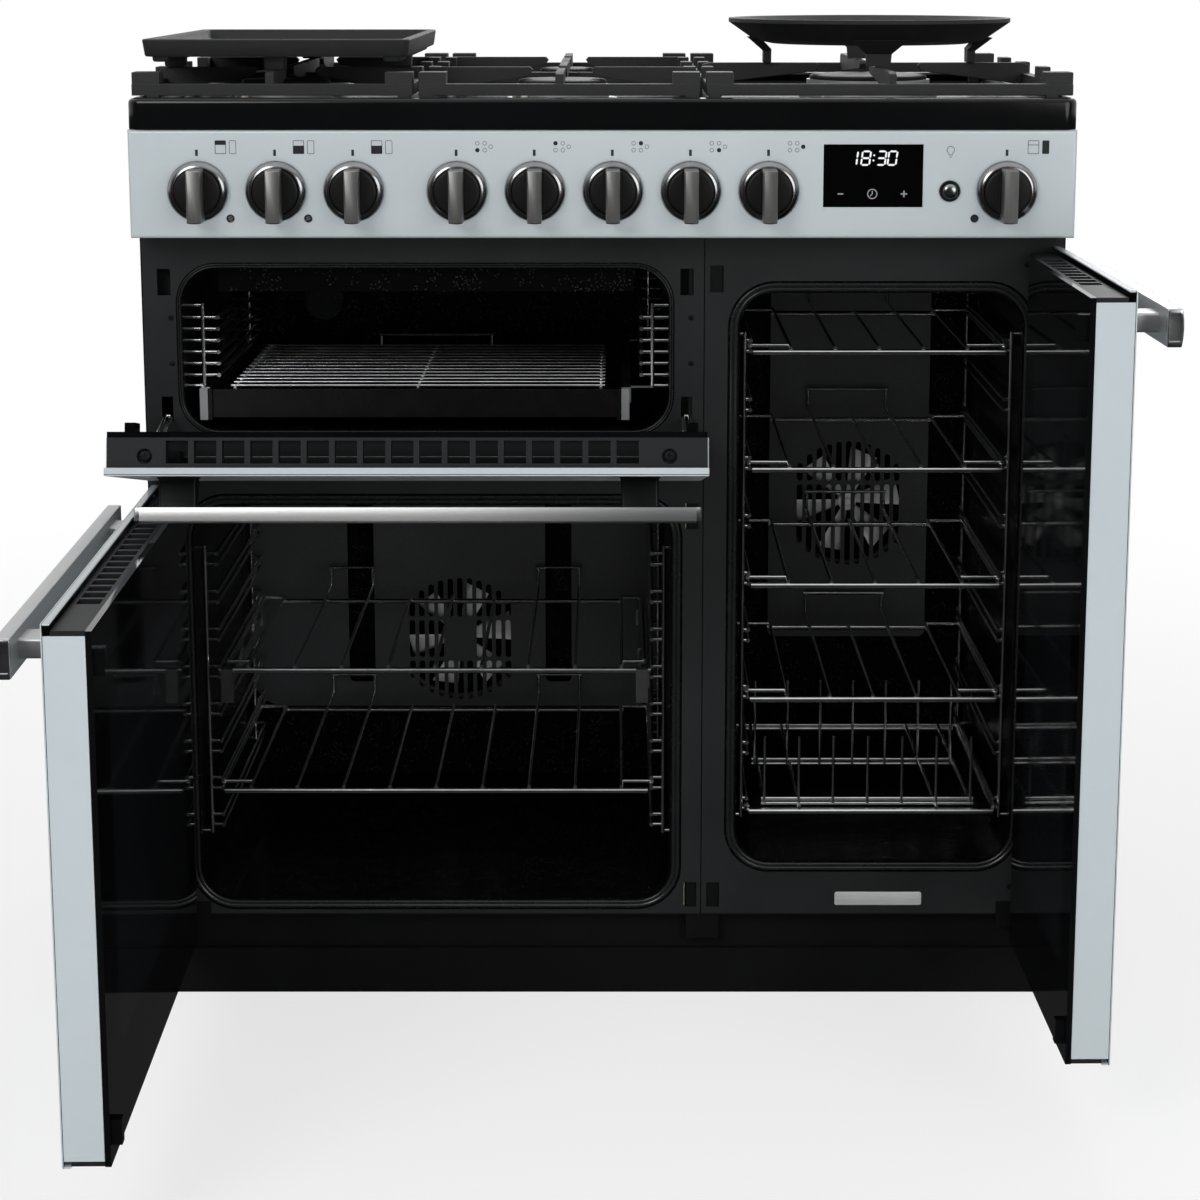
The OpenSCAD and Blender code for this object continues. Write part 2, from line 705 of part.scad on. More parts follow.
// A welded shelf: side rail positions, front rail height, inner rods, their pitch, the rods that rise at the
// back, and the front rail's ends
module shelf(x0, x1, z, rods, pitch, stops, front0, front1) {
    mid = (x0 + x1) / 2;
    top = z + rod_rise;
    last = (rods + 1) / 2;
    bend_y = shelf_y0 + 18;
    wire_x(front0, front1, shelf_y0, z, rail_r);
    wire_x(mid - pitch * last - 3, mid + pitch * last + 3, shelf_y1, z, rail_r - 0.2);
    for (s = [0, 1]) translate([mid, 0, 0]) mirror([s, 0, 0]) {
        rail_x = (x1 - x0) / 2;
        wire_y(rail_x, bend_y, shelf_y1, top, rail_r - 0.3);
        for (y = [bend_y, shelf_y1]) wire_x(pitch * last, rail_x, y, top, rod_r + 0.4);
    }
    for (i = [-last:last]) {
        is_stop = len(search(i, stops)) > 0;
        x = mid + pitch * i;
        wire_y(x, shelf_y0 - 1, is_stop ? stop_y : shelf_y1 + 3.5, top, rod_r);
        if (is_stop) wire_z(x, stop_y - 2.6, top, top + 21, rod_r - 0.2);
    }
    for (p = [0:2:len(stops) - 1])
        wire_x(mid + pitch * stops[p] - 2.4, mid + pitch * stops[p + 1] + 2.4, stop_y - 2.6, top + 21, rod_r);
}

// Height of a side rail that rests on the lower wire of a pair
function rest_in_pair(z) = z - guide_half + rack_r + rail_r - 0.3 + seat_gap - rod_rise;

left_guides = [left_x0 + left_guide, left_x1 - left_guide];
right_guides = [right_x0 + right_guide, right_x1 - right_guide];

module left_shelf_lower() color(steel)
    shelf(left_guides[0], left_guides[1], rest_in_pair(lower_shelf_z), 7, left_rod_pitch, [-3, -2, 2, 3],
        left_guides[0] + 4, left_guides[1] - 4);

// The upper shelf is welded to the sliding members of its telescopic rails
module left_shelf_upper() color(steel) {
    in0 = left_channel[0] + slide_wall + seat_gap;
    in1 = left_channel[1] - slide_wall - seat_gap;
    rail0 = in0 + slide_w / 2;
    rail1 = in1 - slide_w / 2;
    z = slide_z + slide_h / 2 + slide_wall + 6;
    shelf(rail0, rail1, z, 7, left_rod_pitch, [-3, -2, 2, 3], in0 - 3, in1 + 3);
    for (i = [0, 1]) {
        a = i == 0 ? in0 : in1 - slide_w;
        box(a, a + slide_w, shelf_y0 - 6, slide_len + 60, slide_z - slide_h / 2, slide_z + slide_h / 2);
        box(i == 0 ? in0 : in1 - plate_w, i == 0 ? in0 + plate_w : in1, shelf_y0 - 8, shelf_y0 - 1,
            slide_z - 18, z + rail_r);
        inner = i == 0 ? in0 + slide_w : in1 - slide_w;
        dir = i == 0 ? 1 : -1;
        rail_top = z + rod_rise;
        for (y = [130, 290]) scale([dir, 1, 1]) {
            box(dir * inner, dir * inner + 2, y, y + 14, slide_z, rail_top);
            box(dir * inner - slide_w / 2, dir * inner + 2, y, y + 14, rail_top - 2, rail_top);
        }
    }
}

// Four shelves spread over the levels above the plate rack, counted from below
module right_shelf(n) color(steel)
    shelf(right_guides[0], right_guides[1],
        rest_in_pair(right_rack_z[round(2 + (right_levels - 2) * (n - 1) / 3)]), 3, right_rod_pitch, [-1, 1],
        right_guides[0] + 2, right_guides[1] - 2);

module right_shelf_1() right_shelf(4);

module right_shelf_2() right_shelf(3);

module right_shelf_3() right_shelf(2);

module right_shelf_4() right_shelf(1);

module plate_rack() color(steel) {
    x0 = right_guides[0];
    x1 = right_guides[1];
    z = rest_in_pair(right_rack_z[0]);
    top = z + rod_rise;
    mid = (x0 + x1) / 2 - 3;
    pitch = 35;
    half = 3 * pitch;
    wire_x(x0 + 2, x1 - 2, shelf_y0, z, rail_r);
    wire_x(x0 + 6, x1 - 6, shelf_y1, z, rail_r - 0.2);
    for (x = [x0, x1]) {
        wire_y(x, shelf_y0 + 5, shelf_y1, top, rail_r - 0.3);
        wire_z(x, shelf_y0 + 5, z, top, rod_r);
    }
    wire_x(x0, x1, shelf_y0 + 5, z, rod_r + 0.2);
    wire_x(x0, x1, shelf_y1, top, rod_r + 0.2);
    for (x = [mid - 2 * pitch, mid + 2 * pitch]) wire_y(x, shelf_y0 - 2, shelf_y1 + 3, top, rod_r);
    fence(mid, pitch, half, shelf_y0 + 10, top + 6, 66);
    fence(mid - 2, pitch, half, shelf_y0 + 157, top + 1, 88);
    for (x = [mid - half, mid + half]) wire_y(x, shelf_y0 + 8, shelf_y1 + 3, top + 3, rod_r);
}

// A row of plate dividers standing on a cross wire
module fence(mid, pitch, half, y, z, h) {
    wire_x(mid - half - 3, mid + half + 3, y, z, rod_r + 0.3);
    wire_x(mid - half - 3, mid + half + 3, y, z - 5, rod_r);
    for (i = [-3:3]) wire_z(mid + pitch * i, y - 1, z - 5, z + h, rod_r - 0.2);
}

module grill_pan() color(enamel) {
    difference() {
        box(pan_x0, pan_x1, pan_y0, pan_y1, pan_z0, pan_z1);
        box(pan_x0 + pan_t, pan_x1 - pan_t, pan_y0 + pan_t, pan_y1 - pan_t, pan_z0 + pan_t, pan_z1 + 1);
    }
    for (i = [0, 1]) {
        a = i == 0 ? pan_x0 - slide_w : pan_x1;
        box(a, a + slide_w, pan_y0 - 2, pan_y0 + slide_len, pan_slide_z - slide_h / 2, pan_slide_z + slide_h / 2);
        box(i == 0 ? pan_x0 - slide_w : pan_x1 - 4, i == 0 ? pan_x0 + 4 : pan_x1 + slide_w, pan_y0 - 3, pan_y0,
            pan_z0 - 2, pan_z1 + 1);
    }
}

module grill_trivet() color(steel) {
    x0 = pan_x0 + 22;
    x1 = pan_x1 - 16;
    y0 = pan_y0 + 5;
    y1 = pan_y1 - 25;
    z = pan_z1 + 3;
    count = 14;
    foot = pan_z0 + pan_t + seat_gap;
    for (i = [0:count - 1]) wire_x(x0, x1, y0 + (y1 - y0) * i / (count - 1), z, 1.6);
    for (x = [x0 + 4, x1 - 4, (x0 + x1) / 2]) wire_y(x, y0 - 2, y1 + 2, z - 2.6, 1.6);
    for (x = [x0 + 4, x1 - 4], y = [y0 + 10, y1 - 10]) {
        wire_z(x, y, foot, z - 2.6, 1.4);
    }
    mid = (x0 + x1) / 2;
    for (x = [mid - 60, mid + 60]) wire_z(x, y1, z, z + 12, 1.4);
    wire_x(mid - 62.5, mid + 62.5, y1, z + 12, 1.8);
}

// Hob

module rim_ring(inset0, inset1, z0, z1) translate([0, 0, z0]) linear_extrude(z1 - z0) difference() {
    round_rect(-half_w + inset0, half_w - inset0, inset0, depth - inset0, 12 - min(inset0, 6));
    round_rect(-half_w + inset1, half_w - inset1, inset1, depth - inset1, max(12 - inset1, 4));
}

module hob_tray() color(enamel) {
    rim_ring(0, sheet, panel_z1, hob_z);
    rim_ring(0, hob_rim, hob_z - sheet, hob_z);
    rim_ring(hob_rim - sheet, hob_rim, well_z - 2, hob_z);
    translate([0, 0, well_z - 2]) linear_extrude(2) difference() {
        round_rect(-half_w + hob_rim - sheet, half_w - hob_rim + sheet, hob_rim - sheet, depth - hob_rim + sheet, 4);
        for (b = burners) translate([b[0], b[1]]) circle(b[2] - 8);
    }
    for (s = [-1, 1]) scale([s, 1, 1]) box(inner_x - 12, inner_x, 60, depth - 20, panel_z1, well_z - 2);
}

module burner_bodies() color("#a9acae") for (b = burners) translate([b[0], b[1], 0]) {
    difference() {
        union() {
            wire_z(0, 0, well_z - 26, well_z, b[2] - 8.3);
            wire_z(0, 0, well_z, well_z + 5, b[2] + 8);
            wire_z(0, 0, well_z + 5, well_z + crown_h, b[2]);
        }
        for (a = [0:12:348]) rotate([0, 0, a]) box(b[2] - 5, b[2] + 1, -0.9, 0.9, well_z + 9, well_z + crown_h - 3);
    }
    wire_z(-(b[2] + 5) * cos(45), -(b[2] + 5) * sin(45), well_z + 5, well_z + crown_h - 2, 1.8);
}

module burner_caps() color(cast) for (b = burners) translate([b[0], b[1], 0]) {
    wire_z(0, 0, well_z + crown_h, well_z + crown_h + cap_t, b[2] - 3);
    translate([0, 0, well_z + crown_h + cap_t]) cylinder(h = 1.6, r1 = b[2] - 3, r2 = b[2] - 9);
}

// Bar that points at a burner, from the frame at r0 to its tip at r1, rising to the pan rest
module finger(r0, r1) rotate([90, 0, 0]) translate([0, 0, -4]) linear_extrude(8)
    polygon([[r0, bar_z0], [r0, rest_z - 2], [r0 - 8, rest_z], [r1 + 3, rest_z], [r1, rest_z - 3],
        [r1 + 4, rest_z - 9], [r0 - 26, bar_z0 + 2], [r0 - 14, bar_z0]]);

// Cast frame over one or two burners, each given as [x, y, crown radius]
module pan_support(x0, x1, over) color(cast) {
    for (y = [support_y0, support_y1 - cast_w]) box(x0, x1, y, y + cast_w, bar_z0, bar_z1);
    for (x = [x0, x1 - cast_w]) box(x, x + cast_w, support_y0, support_y1, bar_z0, bar_z1);
    for (x = [x0, x1 - 26], y = [support_y0 + 2, support_y1 - 28]) box(x, x + 26, y, y + 26, bar_z1, rest_z);
    for (x = [x0, x1 - cast_w], i = [1:3]) translate([x, support_y0 + 2 + (support_y1 - support_y0 - 30) * i / 4, bar_z1])
        cube([cast_w, 26, pan_rise]);
    for (x = [max(x0, -well_x) + 2, min(x1, well_x) - 14], y = [support_y0, support_y1 - cast_w])
        box(x, x + 12, y, y + cast_w, well_z, bar_z0);
    mid_bar = (support_y0 + support_y1) / 2;
    two = len(over) > 1;
    if (two) box(x0, x1, mid_bar - cast_w / 2, mid_bar + cast_w / 2, bar_z0, bar_z1);
    for (b = over) {
        front = two && b[1] > mid_bar ? mid_bar : support_y0 + cast_w / 2;
        rear = two && b[1] < mid_bar ? mid_bar : support_y1 - cast_w / 2;
        tip = b[2] * (two ? 0.62 : 0.8);
        translate([b[0], b[1], 0]) {
            rotate([0, 0, -90]) finger(b[1] - front, tip);
            rotate([0, 0, 90]) finger(rear - b[1], tip);
            rotate([0, 0, 180]) finger(b[0] - x0 - 4, tip);
            finger(x1 - 4 - b[0], tip);
        }
    }
}

module pan_support_left() pan_support(support_x[0], support_x[1], [burners[0], burners[1]]);

module pan_support_centre() pan_support(support_x[2], support_x[3], [burners[2], burners[3]]);

module pan_support_right() pan_support(support_x[4], support_x[5], [burners[4]]);

module griddle() color(cast) {
    mid = (support_x[0] + support_x[1]) / 2;
    x0 = mid - griddle_w / 2;
    z0 = rest_z + seat_gap + griddle_foot;
    y1 = griddle_y0 + griddle_d;
    difference() {
        box(x0, x0 + griddle_w, griddle_y0, y1, z0, z0 + griddle_h);
        box(x0 + 6, x0 + griddle_w - 6, griddle_y0 + 6, y1 - 6, z0 + 6, z0 + griddle_h + 1);
    }
    for (x = [x0 + 10, x0 + griddle_w - 26]) box(x, x + 16, griddle_y0 + 5, y1 - 5, z0 - 5, z0);
    box(mid - 13, mid + 7, griddle_y0 + 14, griddle_y0 + 34, rest_z + seat_gap, z0);
    box(mid - 13, mid + 7, y1 - 60, y1 - 40, rest_z + seat_gap, z0);
    for (x = [x0 + 6, x0 + griddle_w - 26])
        box(x, x + 20, griddle_y0 + 94, griddle_y0 + 114, rest_z + seat_gap, z0);
}

module wok_ring() color(cast) translate([wok_ring_x, wok_burner_y, 0]) {
    z0 = rest_z + seat_gap;
    rim = z0 + wok_h;
    rotate_extrude() polygon([[wok_rim_r - 26, rim - 22], [wok_rim_r, rim - 4], [wok_rim_r, rim],
        [wok_rim_r - 4, rim], [wok_rim_r - 30, rim - 18], [wok_rim_r - 46, rim - 22], [wok_rim_r - 44, rim - 26]]);
    for (a = [0:90:270]) rotate([0, 0, a]) intersection() {
        rotate([90, 0, 0]) translate([0, 0, -40]) linear_extrude(80)
            polygon([[wok_rim_r - 20, rim - 20], [wok_rim_r - 36, z0 + 12], [wok_rim_r - 36, z0],
                [wok_rim_r - 44, z0], [wok_rim_r - 44, z0 + 14], [wok_rim_r - 32, rim - 20]]);
        along_x(wok_rim_r - 60, wok_rim_r) polygon([[-12, z0], [12, z0], [13, z0 + 12], [30, rim - 18], [-30, rim - 18],
            [-13, z0 + 12]]);
    }
}

// Control panel

module control_panel() color(paint) difference() {
    union() {
        translate([0, 0, panel_z0]) linear_extrude(panel_h) difference() {
            panel_plan(0);
            translate([0, panel_t]) panel_plan(panel_t);
            translate([-half_w - 1, frame_y]) square([cooker_w + 2, 20]);
        }
        for (z = [panel_z0, panel_z1 - sheet])
            box(-half_w + panel_t, half_w - panel_t, panel_t, frame_y, z, z + sheet);
    }
    for (x = concat(all_oven_knobs, burner_knobs)) wire_y(x, -1, panel_t + 1, knob_z, spindle_r + 2);
    for (x = neon_x) wire_y(x, -1, panel_t + 1, neon_z, neon_r + seat_gap);
    wire_y(button_x, -1, panel_t + 1, knob_z, button_r + 2.5 + seat_gap);
    box(clock_x - clock_w / 2 - seat_gap, clock_x + clock_w / 2 + seat_gap, -1, panel_t + 1,
        clock_z - clock_h / 2 - seat_gap, clock_z + clock_h / 2 + seat_gap);
}

module panel_plan(inset) round_rect(-half_w + inset, half_w - inset, 0, frame_y + 10, panel_edge_r);

module clock_display() color("#0b0c0e") {
    w = clock_w / 2;
    h = clock_h / 2;
    box(clock_x - w, clock_x + w, -0.5, panel_t, clock_z - h, clock_z + h);
    box(clock_x - w - 3, clock_x + w + 3, panel_t, gear_y, clock_z - h - 3, clock_z + h + 3);
}

module lamps() color("#8b4a3a") {
    for (x = neon_x) wire_y(x, -0.8, gear_y, neon_z, neon_r);
    wire_y(grill_box[0] + 92, oven_y1 - 6, oven_y1, grill_z0 + grill_h / 2 - 4, 22);
    wire_y(grill_box[0] + 92, oven_y1 - 16, oven_y1 - 6, grill_z0 + grill_h / 2 - 4, 17);
    for (b = [left_box, right_box]) {
        wire_z((b[0] + b[1]) / 2, 300, b[3] - 6, b[3], 22);
        wire_z((b[0] + b[1]) / 2, 300, b[3] - 16, b[3] - 6, 17);
    }
}

module control_gear() {
    color(dark_steel) switches();
    color("#b08a4a") gas_rail();
}

module switches() {
    difference() {
        box(-half_w + panel_t, half_w - panel_t, gear_y, gear_y + 2, panel_z0 + sheet, panel_z0 + 90);
        for (x = concat(all_oven_knobs, burner_knobs)) wire_y(x, gear_y - 1, gear_y + 3, knob_z, spindle_r + 1);
        wire_y(button_x, gear_y - 1, gear_y + 3, knob_z, button_r + 1);
    }
    for (x = all_oven_knobs) difference() {
        box(x - 20, x + 20, gear_y + 2, gear_y + 30, knob_z - 20, knob_z + 20);
        wire_y(x, gear_y, gear_y + 26, knob_z, spindle_r + run_gap);
    }
    difference() {
        union() {
            wire_y(button_x, -1.5, gear_y, knob_z, button_r + 2.5);
            box(button_x - 14, button_x + 14, gear_y + 2, gear_y + 18, knob_z - 14, knob_z + 14);
        }
        wire_y(button_x, -3, gear_y + 12, knob_z, button_r + run_gap);
    }
}

module gas_rail() {
    difference() {
        union() {
            wire_x(inlet_x, burner_knobs[4] + 16, rail_y, knob_z, 7);
            for (x = burner_knobs) {
                wire_y(x, gear_y + 2, rail_y, knob_z, 12);
                box(x - 9, x + 9, gear_y + 2, rail_y - 8, knob_z - 18, knob_z + 16);
            }
        }
        for (x = burner_knobs) wire_y(x, gear_y, gear_y + 27, knob_z, spindle_r + run_gap);
    }
    wire_y(inlet_x, rail_y, outlet_y - 16, knob_z, 7);
    translate([inlet_x, rail_y, knob_z]) sphere(7);
    translate([inlet_x, back_y - 8, knob_z]) rotate([-90, 0, 0]) cylinder(h = 6, r = 13, $fn = 6);
    wire_y(inlet_x, back_y - 4, outlet_y, knob_z, inlet_r);
    order = [0, 1, 2, 3, 4];
    for (i = order) {
        b = burners[i];
        side = (i == 1 || i == 2) ? 14 : 0;
        x = b[0] + side;
        z = knob_z + 24 + 2 * i;
        y = rail_y - 18;
        wire_z(burner_knobs[i], y, knob_z, z, pipe_r);
        wire_x(min(x, burner_knobs[i]), max(x, burner_knobs[i]), y, z, pipe_r);
        wire_y(x, y, b[1], z, pipe_r);
        wire_z(x, b[1], z, well_z - 26, pipe_r);
        for (p = [[burner_knobs[i], y, z], [x, y, z], [x, b[1], z]]) translate(p) sphere(pipe_r);
    }
}

module knob(x) color(steel) translate([x, 0, knob_z]) rotate([90, 0, 0]) {
    translate([0, 0, 0.8]) cylinder(h = 5, r = knob_r);
    translate([0, 0, 5.8]) cylinder(h = 3, r1 = knob_r, r2 = knob_r - 3);
    translate([0, 0, 8.8]) cylinder(h = 3, r = knob_r - 6);
    linear_extrude(knob_reach) intersection() {
        translate([-grip_w / 2, -knob_r]) square([grip_w, knob_r + 22]);
        circle(knob_r - 1);
    }
    translate([0, 0, -spindle_len + 2]) cylinder(h = spindle_len, r = spindle_r);
}

module light_button() color(steel) translate([button_x, 0, knob_z]) rotate([90, 0, 0]) {
    translate([0, 0, -gear_y + 2 + button_travel]) cylinder(h = gear_y + 2.5 - button_travel, r = button_r);
    translate([0, 0, 4.5]) cylinder(h = 1.2, r1 = button_r, r2 = button_r - 2);
    translate([0, 0, -gear_y - 6]) cylinder(h = 12, r = 2.5);
}

// Doors. A side door is drawn closed, as distances from its hinge line: u along the door and v into the cooker.

module side_pose(side, angle) translate([side * pivot_x, pivot_y, 0]) mirror([side > 0 ? 1 : 0, 0, 0])
    rotate([0, 0, -angle]) children();

module grill_pose() translate([0, pivot_y, grill_pivot_z]) rotate([grill_open, 0, 0]) children();

// Painted tray: face sheet with a window, top and bottom lips, and side returns of given depth
module tray(x0, x1, z0, z1, d0, d1, lip_top, lip_low, window) {
    difference() {
        box(x0, x1, -half_t, -half_t + skin_t, z0, z1);
        if (len(window) > 0) along_y(-half_t - 1, -half_t + skin_t + 1)
            round_rect(window[0], window[1], window[2], window[3], 18);
    }
    box(x0, x1, -half_t, -half_t + lip_top, z1 - skin_t, z1);
    box(x0, x1, -half_t, -half_t + lip_low, z0, z0 + skin_t);
    box(x0, x0 + skin_t, -half_t, -half_t + d0, z0 + trim_drop, z1 - 10);
    box(x1 - skin_t, x1, -half_t, -half_t + d1, z0 + trim_drop, z1 - 10);
}

full_return = door_t - glass_t;
hinge_return = half_t + hinge_wall;
side_window = [95, 75];

// Window limits inside a side door
function window_of(reach, z1) = [side_window[0] * reach / 521, reach - side_window[0] * reach / 521, door_z0 + 95,
    z1 - 105];

module side_skin(reach, z1) color(paint) difference() {
    tray(-hinge_edge, reach, door_z0, z1, hinge_return, full_return, lip_d, lip_d, window_of(reach, z1));
    for (z = [door_z0 + 3, z1 - tab_drop - tab_t - 2])
        box(-hinge_edge - 1, -hinge_edge + skin_t + 1, -half_t + 6, half_t, z, z + leg_h + 4);
}

// Black bar along a door's edge, with slots from s0 to s1
module vent_bar(x0, x1, z0, z1, step_x, s0, s1, pitch) difference() {
    union() {
        box(x0, x1, -half_t + lip_d, 12, z0, z1);
        box(step_x, x1, 0, full_return - half_t, z0, z1);
    }
    if (pitch > 0) for (s = [s0:pitch:s1]) box(s, s + pitch - 5.5, -half_t + lip_d + 4, 11, z0 - 1, z1 + 1);
}

module side_liner(reach, z1) color(black) {
    top = z1 - trim_drop;
    end = reach - skin_t;
    last = reach - 88;
    difference() {
        union() {
            vent_bar(-12, end, top - trim_h, top, liner_u, liner_u + 14, last, side_slot_pitch);
            vent_bar(-12, end, door_z0 + skin_t, door_z0 + trim_h, liner_u, 0, 0, 0);
            box(-block_half, block_half, -half_t + lip_d, 9, top - 24, top);
            box(-block_half, block_half, -half_t + lip_d, 9, door_z0 + skin_t, door_z0 + 24);
        }
        wire_z(0, 0, z1 - tab_drop, top - 3, pin_r + run_gap);
        wire_z(0, 0, door_z0 - 1, door_z0 + 20, pin_r + run_gap);
    }
    box(liner_u, reach, full_return - half_t, half_t, door_z0 + skin_t, top);
    w = window_of(reach, z1);
    box(w[0] - 14, w[1] + 14, -half_t + skin_t, -half_t + skin_t + 4, w[2] - 14, w[3] + 14);
    catch_u = catch_x(reach > 400 ? -1 : 1);
    for (z = side_catch_z(z1)) {
        u = reach > 400 ? catch_u + pivot_x : pivot_x - catch_u;
        box(u - catch_w / 2, u + catch_w / 2, half_t, half_t + catch_d, z - catch_h / 2, z + catch_h / 2);
    }
}

// Handle drawn across a door: bar limits, bracket centres and the height of its middle
module handle(x0, x1, brackets, z) color(steel) {
    face = -half_t - handle_gap;
    along_x(x0, x1) intersection() {
        translate([face - handle_t, z - handle_h / 2]) square([handle_t, handle_h]);
        translate([face - handle_t + 45, z]) circle(45);
        polygon([[face - handle_t - 1, z - 20], [face - 5, z - 20], [face + 3, z - 9], [face + 3, z + 9],
            [face - 5, z + 20], [face - handle_t - 1, z + 20]]);
    }
    for (b = brackets) box(b - bracket_w / 2, b + bracket_w / 2, face, -half_t, z - bracket_h / 2, z + bracket_h / 2);
}

left_bar = [-6, left_reach - 15];
right_bar = [0, right_reach - 8];

module left_door_skin() side_pose(-1, left_open) side_skin(left_reach, left_door_z1);

module left_door_liner() side_pose(-1, left_open) side_liner(left_reach, left_door_z1);

module left_door_handle() side_pose(-1, left_open)
    handle(left_bar[0], left_bar[1], [left_bar[0] + 50, left_bar[1] - 50], left_door_z1 - handle_drop);

module right_door_skin() side_pose(1, right_open) side_skin(right_reach, door_top);

module right_door_liner() side_pose(1, right_open) side_liner(right_reach, door_top);

module right_door_handle() side_pose(1, right_open)
    handle(right_bar[0], right_bar[1], [right_bar[0] + 50, right_bar[1] - 50], door_top - handle_drop);

// The grill door is drawn the same way, with v into the cooker and u up from its hinge line
module grill_door_skin() color(paint) grill_pose() difference() {
    tray(grill_x0, grill_x1, -hinge_edge, grill_top, full_return, full_return, lip_d, hinge_return, []);
    for (x = [grill_x0 + skin_t, grill_x1 - skin_t]) box(x - 12, x + 12, -half_t + 8, half_t, -hinge_edge - 1, -hinge_edge + 3);
}

module grill_door_liner() color(black) grill_pose() {
    top = grill_top - trim_drop;
    x0 = grill_x0 + skin_t;
    x1 = grill_x1 - skin_t;
    stays = [stay_left, stay_right];
    difference() {
        box(x0, x1, full_return - half_t, half_t, liner_u, top);
        for (x = stays) box(x - stay_ear - 2.3, x + stay_ear + 2.3, 0, half_t + 1, 0, stay_u + 8);
    }
    for (x = stays) {
        for (e = [x - stay_ear - 2, x + stay_ear]) box(e, e + 2, -half_t + skin_t, stay_v + 4, stay_u - 6, stay_u + 6);
        wire_x(x - stay_ear - 1, x + stay_ear + 1, stay_v, stay_u, stay_eye);
    }
    difference() {
        box(x0, x1, -half_t + lip_d, full_return - half_t, top - trim_h, top);
        for (s = [x0 + 53:grill_slot_pitch:x1 - 74])
            box(s, s + grill_slot_pitch - 5.2, -half_t + lip_d + 4, full_return - half_t - 3, top - trim_h - 1, top + 1);
        for (x = [x0 + 34, x1 - 34]) wire_z(x, -2, top - 6, top + 1, 7);
    }
    for (x = [x0 + 34, x1 - 34]) wire_z(x, -2, top - 6, top - 2, 4);
    for (x = [x0 + 14, x1 - 34]) difference() {
        box(x, x + 20, -half_t + skin_t, 8, -12, 12);
        wire_x(x - 1, x + 21, 0, 0, pin_r + run_gap);
    }
    for (x = stays) {
        box(x - catch_w / 2, x + catch_w / 2, half_t, half_t + catch_d, grill_catch_u - catch_h / 2,
            grill_catch_u + catch_h / 2);
    }
}

// Wire stays: an eye on the door's pin and two rods that run back through the frame
module grill_door_stays() color(dark_steel) for (x = [stay_left, stay_right])
    grill_pose() translate([x, stay_v, stay_u]) rotate([stay_angle - grill_open, 0, 0]) {
        difference() {
            union() {
                wire_x(-stay_ear + seat_gap, stay_ear - seat_gap, 0, 0, stay_eye + 2, seam_turn);
                for (e = [-stay_half, stay_half]) wire_y(e, 0, stay_len, 0, stay_wire, seam_turn);
            }
            wire_x(-10, 10, 0, 0, stay_eye + run_gap, seam_turn);
        }
        wire_x(-stay_half, stay_half, stay_len - 3, 0, stay_wire - 0.2, seam_turn);
    }

module grill_door_handle() grill_pose()
    handle(grill_x0 + 24, grill_x1 - 6, [grill_x0 + 62, grill_x1 - 62], grill_top - handle_drop);

// Hinge brackets stay with the frame

module side_bracket(side, tab_z, leg_w) scale([side, 1, 1]) {
    difference() {
        union() {
            box(pivot_x - tab_w / 2, pivot_x + tab_w / 2, pivot_y, frame_y - leg_t, tab_z - tab_t, tab_z);
            wire_z(pivot_x, pivot_y, tab_z - tab_t, tab_z, tab_w / 2);
        }
        wire_z(pivot_x, pivot_y, tab_z - tab_t - 1, tab_z + 1, pin_r);
    }
    box(pivot_x - leg_w + leg_out, pivot_x + leg_out, frame_y - leg_t, frame_y, tab_z - tab_t, tab_z - tab_t + leg_h);
    wire_z(pivot_x, pivot_y, tab_z - tab_t, tab_z + 17, pin_r);
}

module grill_bracket(x, dir) {
    y0 = pivot_y;
    z0 = grill_pivot_z;
    along_x(min(x, x + dir * 3), max(x, x + dir * 3))
        polygon([[frame_y, z0 + 3.5], [frame_y, z0 + 20], [frame_y - 8, z0 + 20], [y0 - 8, z0 + 7], [y0 - 8, z0 - 7],
            [y0 + 7, z0 - 7], [y0 + 13, z0 + 3.5]]);
    wire_x(min(x, x + dir * 26), max(x, x + dir * 26), y0, z0, pin_r);
}

module hinge_brackets() color(black) {
    for (side = [-1, 1]) side_bracket(side, door_z0 - seat_gap, low_leg_w);
    side_bracket(-1, left_door_z1 - tab_drop, top_leg_w);
    side_bracket(1, door_top - tab_drop, top_leg_w);
    grill_bracket(grill_x0 + skin_t + 8, 1);
    grill_bracket(grill_x1 - skin_t - 8, -1);
}

// Shifts the drawing so that the origin is where it belongs
module place() translate([0, -mid_y, 0]) children();

place() side_panels();
place() back_panel();
place() base_tray();
place() front_frame();
place() plinth();
place() levelling_feet();
place() grill_liner();
place() left_oven_liner();
place() right_oven_liner();
place() insulation();
place() door_seals();
place() control_panel();
place() clock_display();
place() lamps();
place() control_gear();
place() hob_tray();
place() burner_bodies();
place() burner_caps();
place() fan_covers();
place() fan_motors();
place() heating_elements();
place() side_racks();
place() hinge_brackets();
place() left_fan();
place() right_fan();
place() rear_rollers();
place() pan_support_left();
place() pan_support_centre();
place() pan_support_right();
place() griddle();
place() wok_ring();
place() knob(all_oven_knobs[0]);  // knob_oven_1
place() knob(all_oven_knobs[1]);  // knob_oven_2
place() knob(all_oven_knobs[2]);  // knob_oven_3
place() knob(all_oven_knobs[3]);  // knob_oven_4
place() knob(burner_knobs[0]);  // knob_burner_1
place() knob(burner_knobs[1]);  // knob_burner_2
place() knob(burner_knobs[2]);  // knob_burner_3
place() knob(burner_knobs[3]);  // knob_burner_4
place() knob(burner_knobs[4]);  // knob_burner_5
place() light_button();
place() left_shelf_upper();
place() left_shelf_lower();
place() right_shelf_1();
place() right_shelf_2();
place() right_shelf_3();
place() right_shelf_4();
place() plate_rack();
place() grill_pan();
place() grill_trivet();
place() left_door_skin();
place() left_door_liner();
place() left_door_handle();
place() right_door_skin();
place() right_door_liner();
place() right_door_handle();
place() grill_door_skin();
place() grill_door_liner();
place() grill_door_handle();
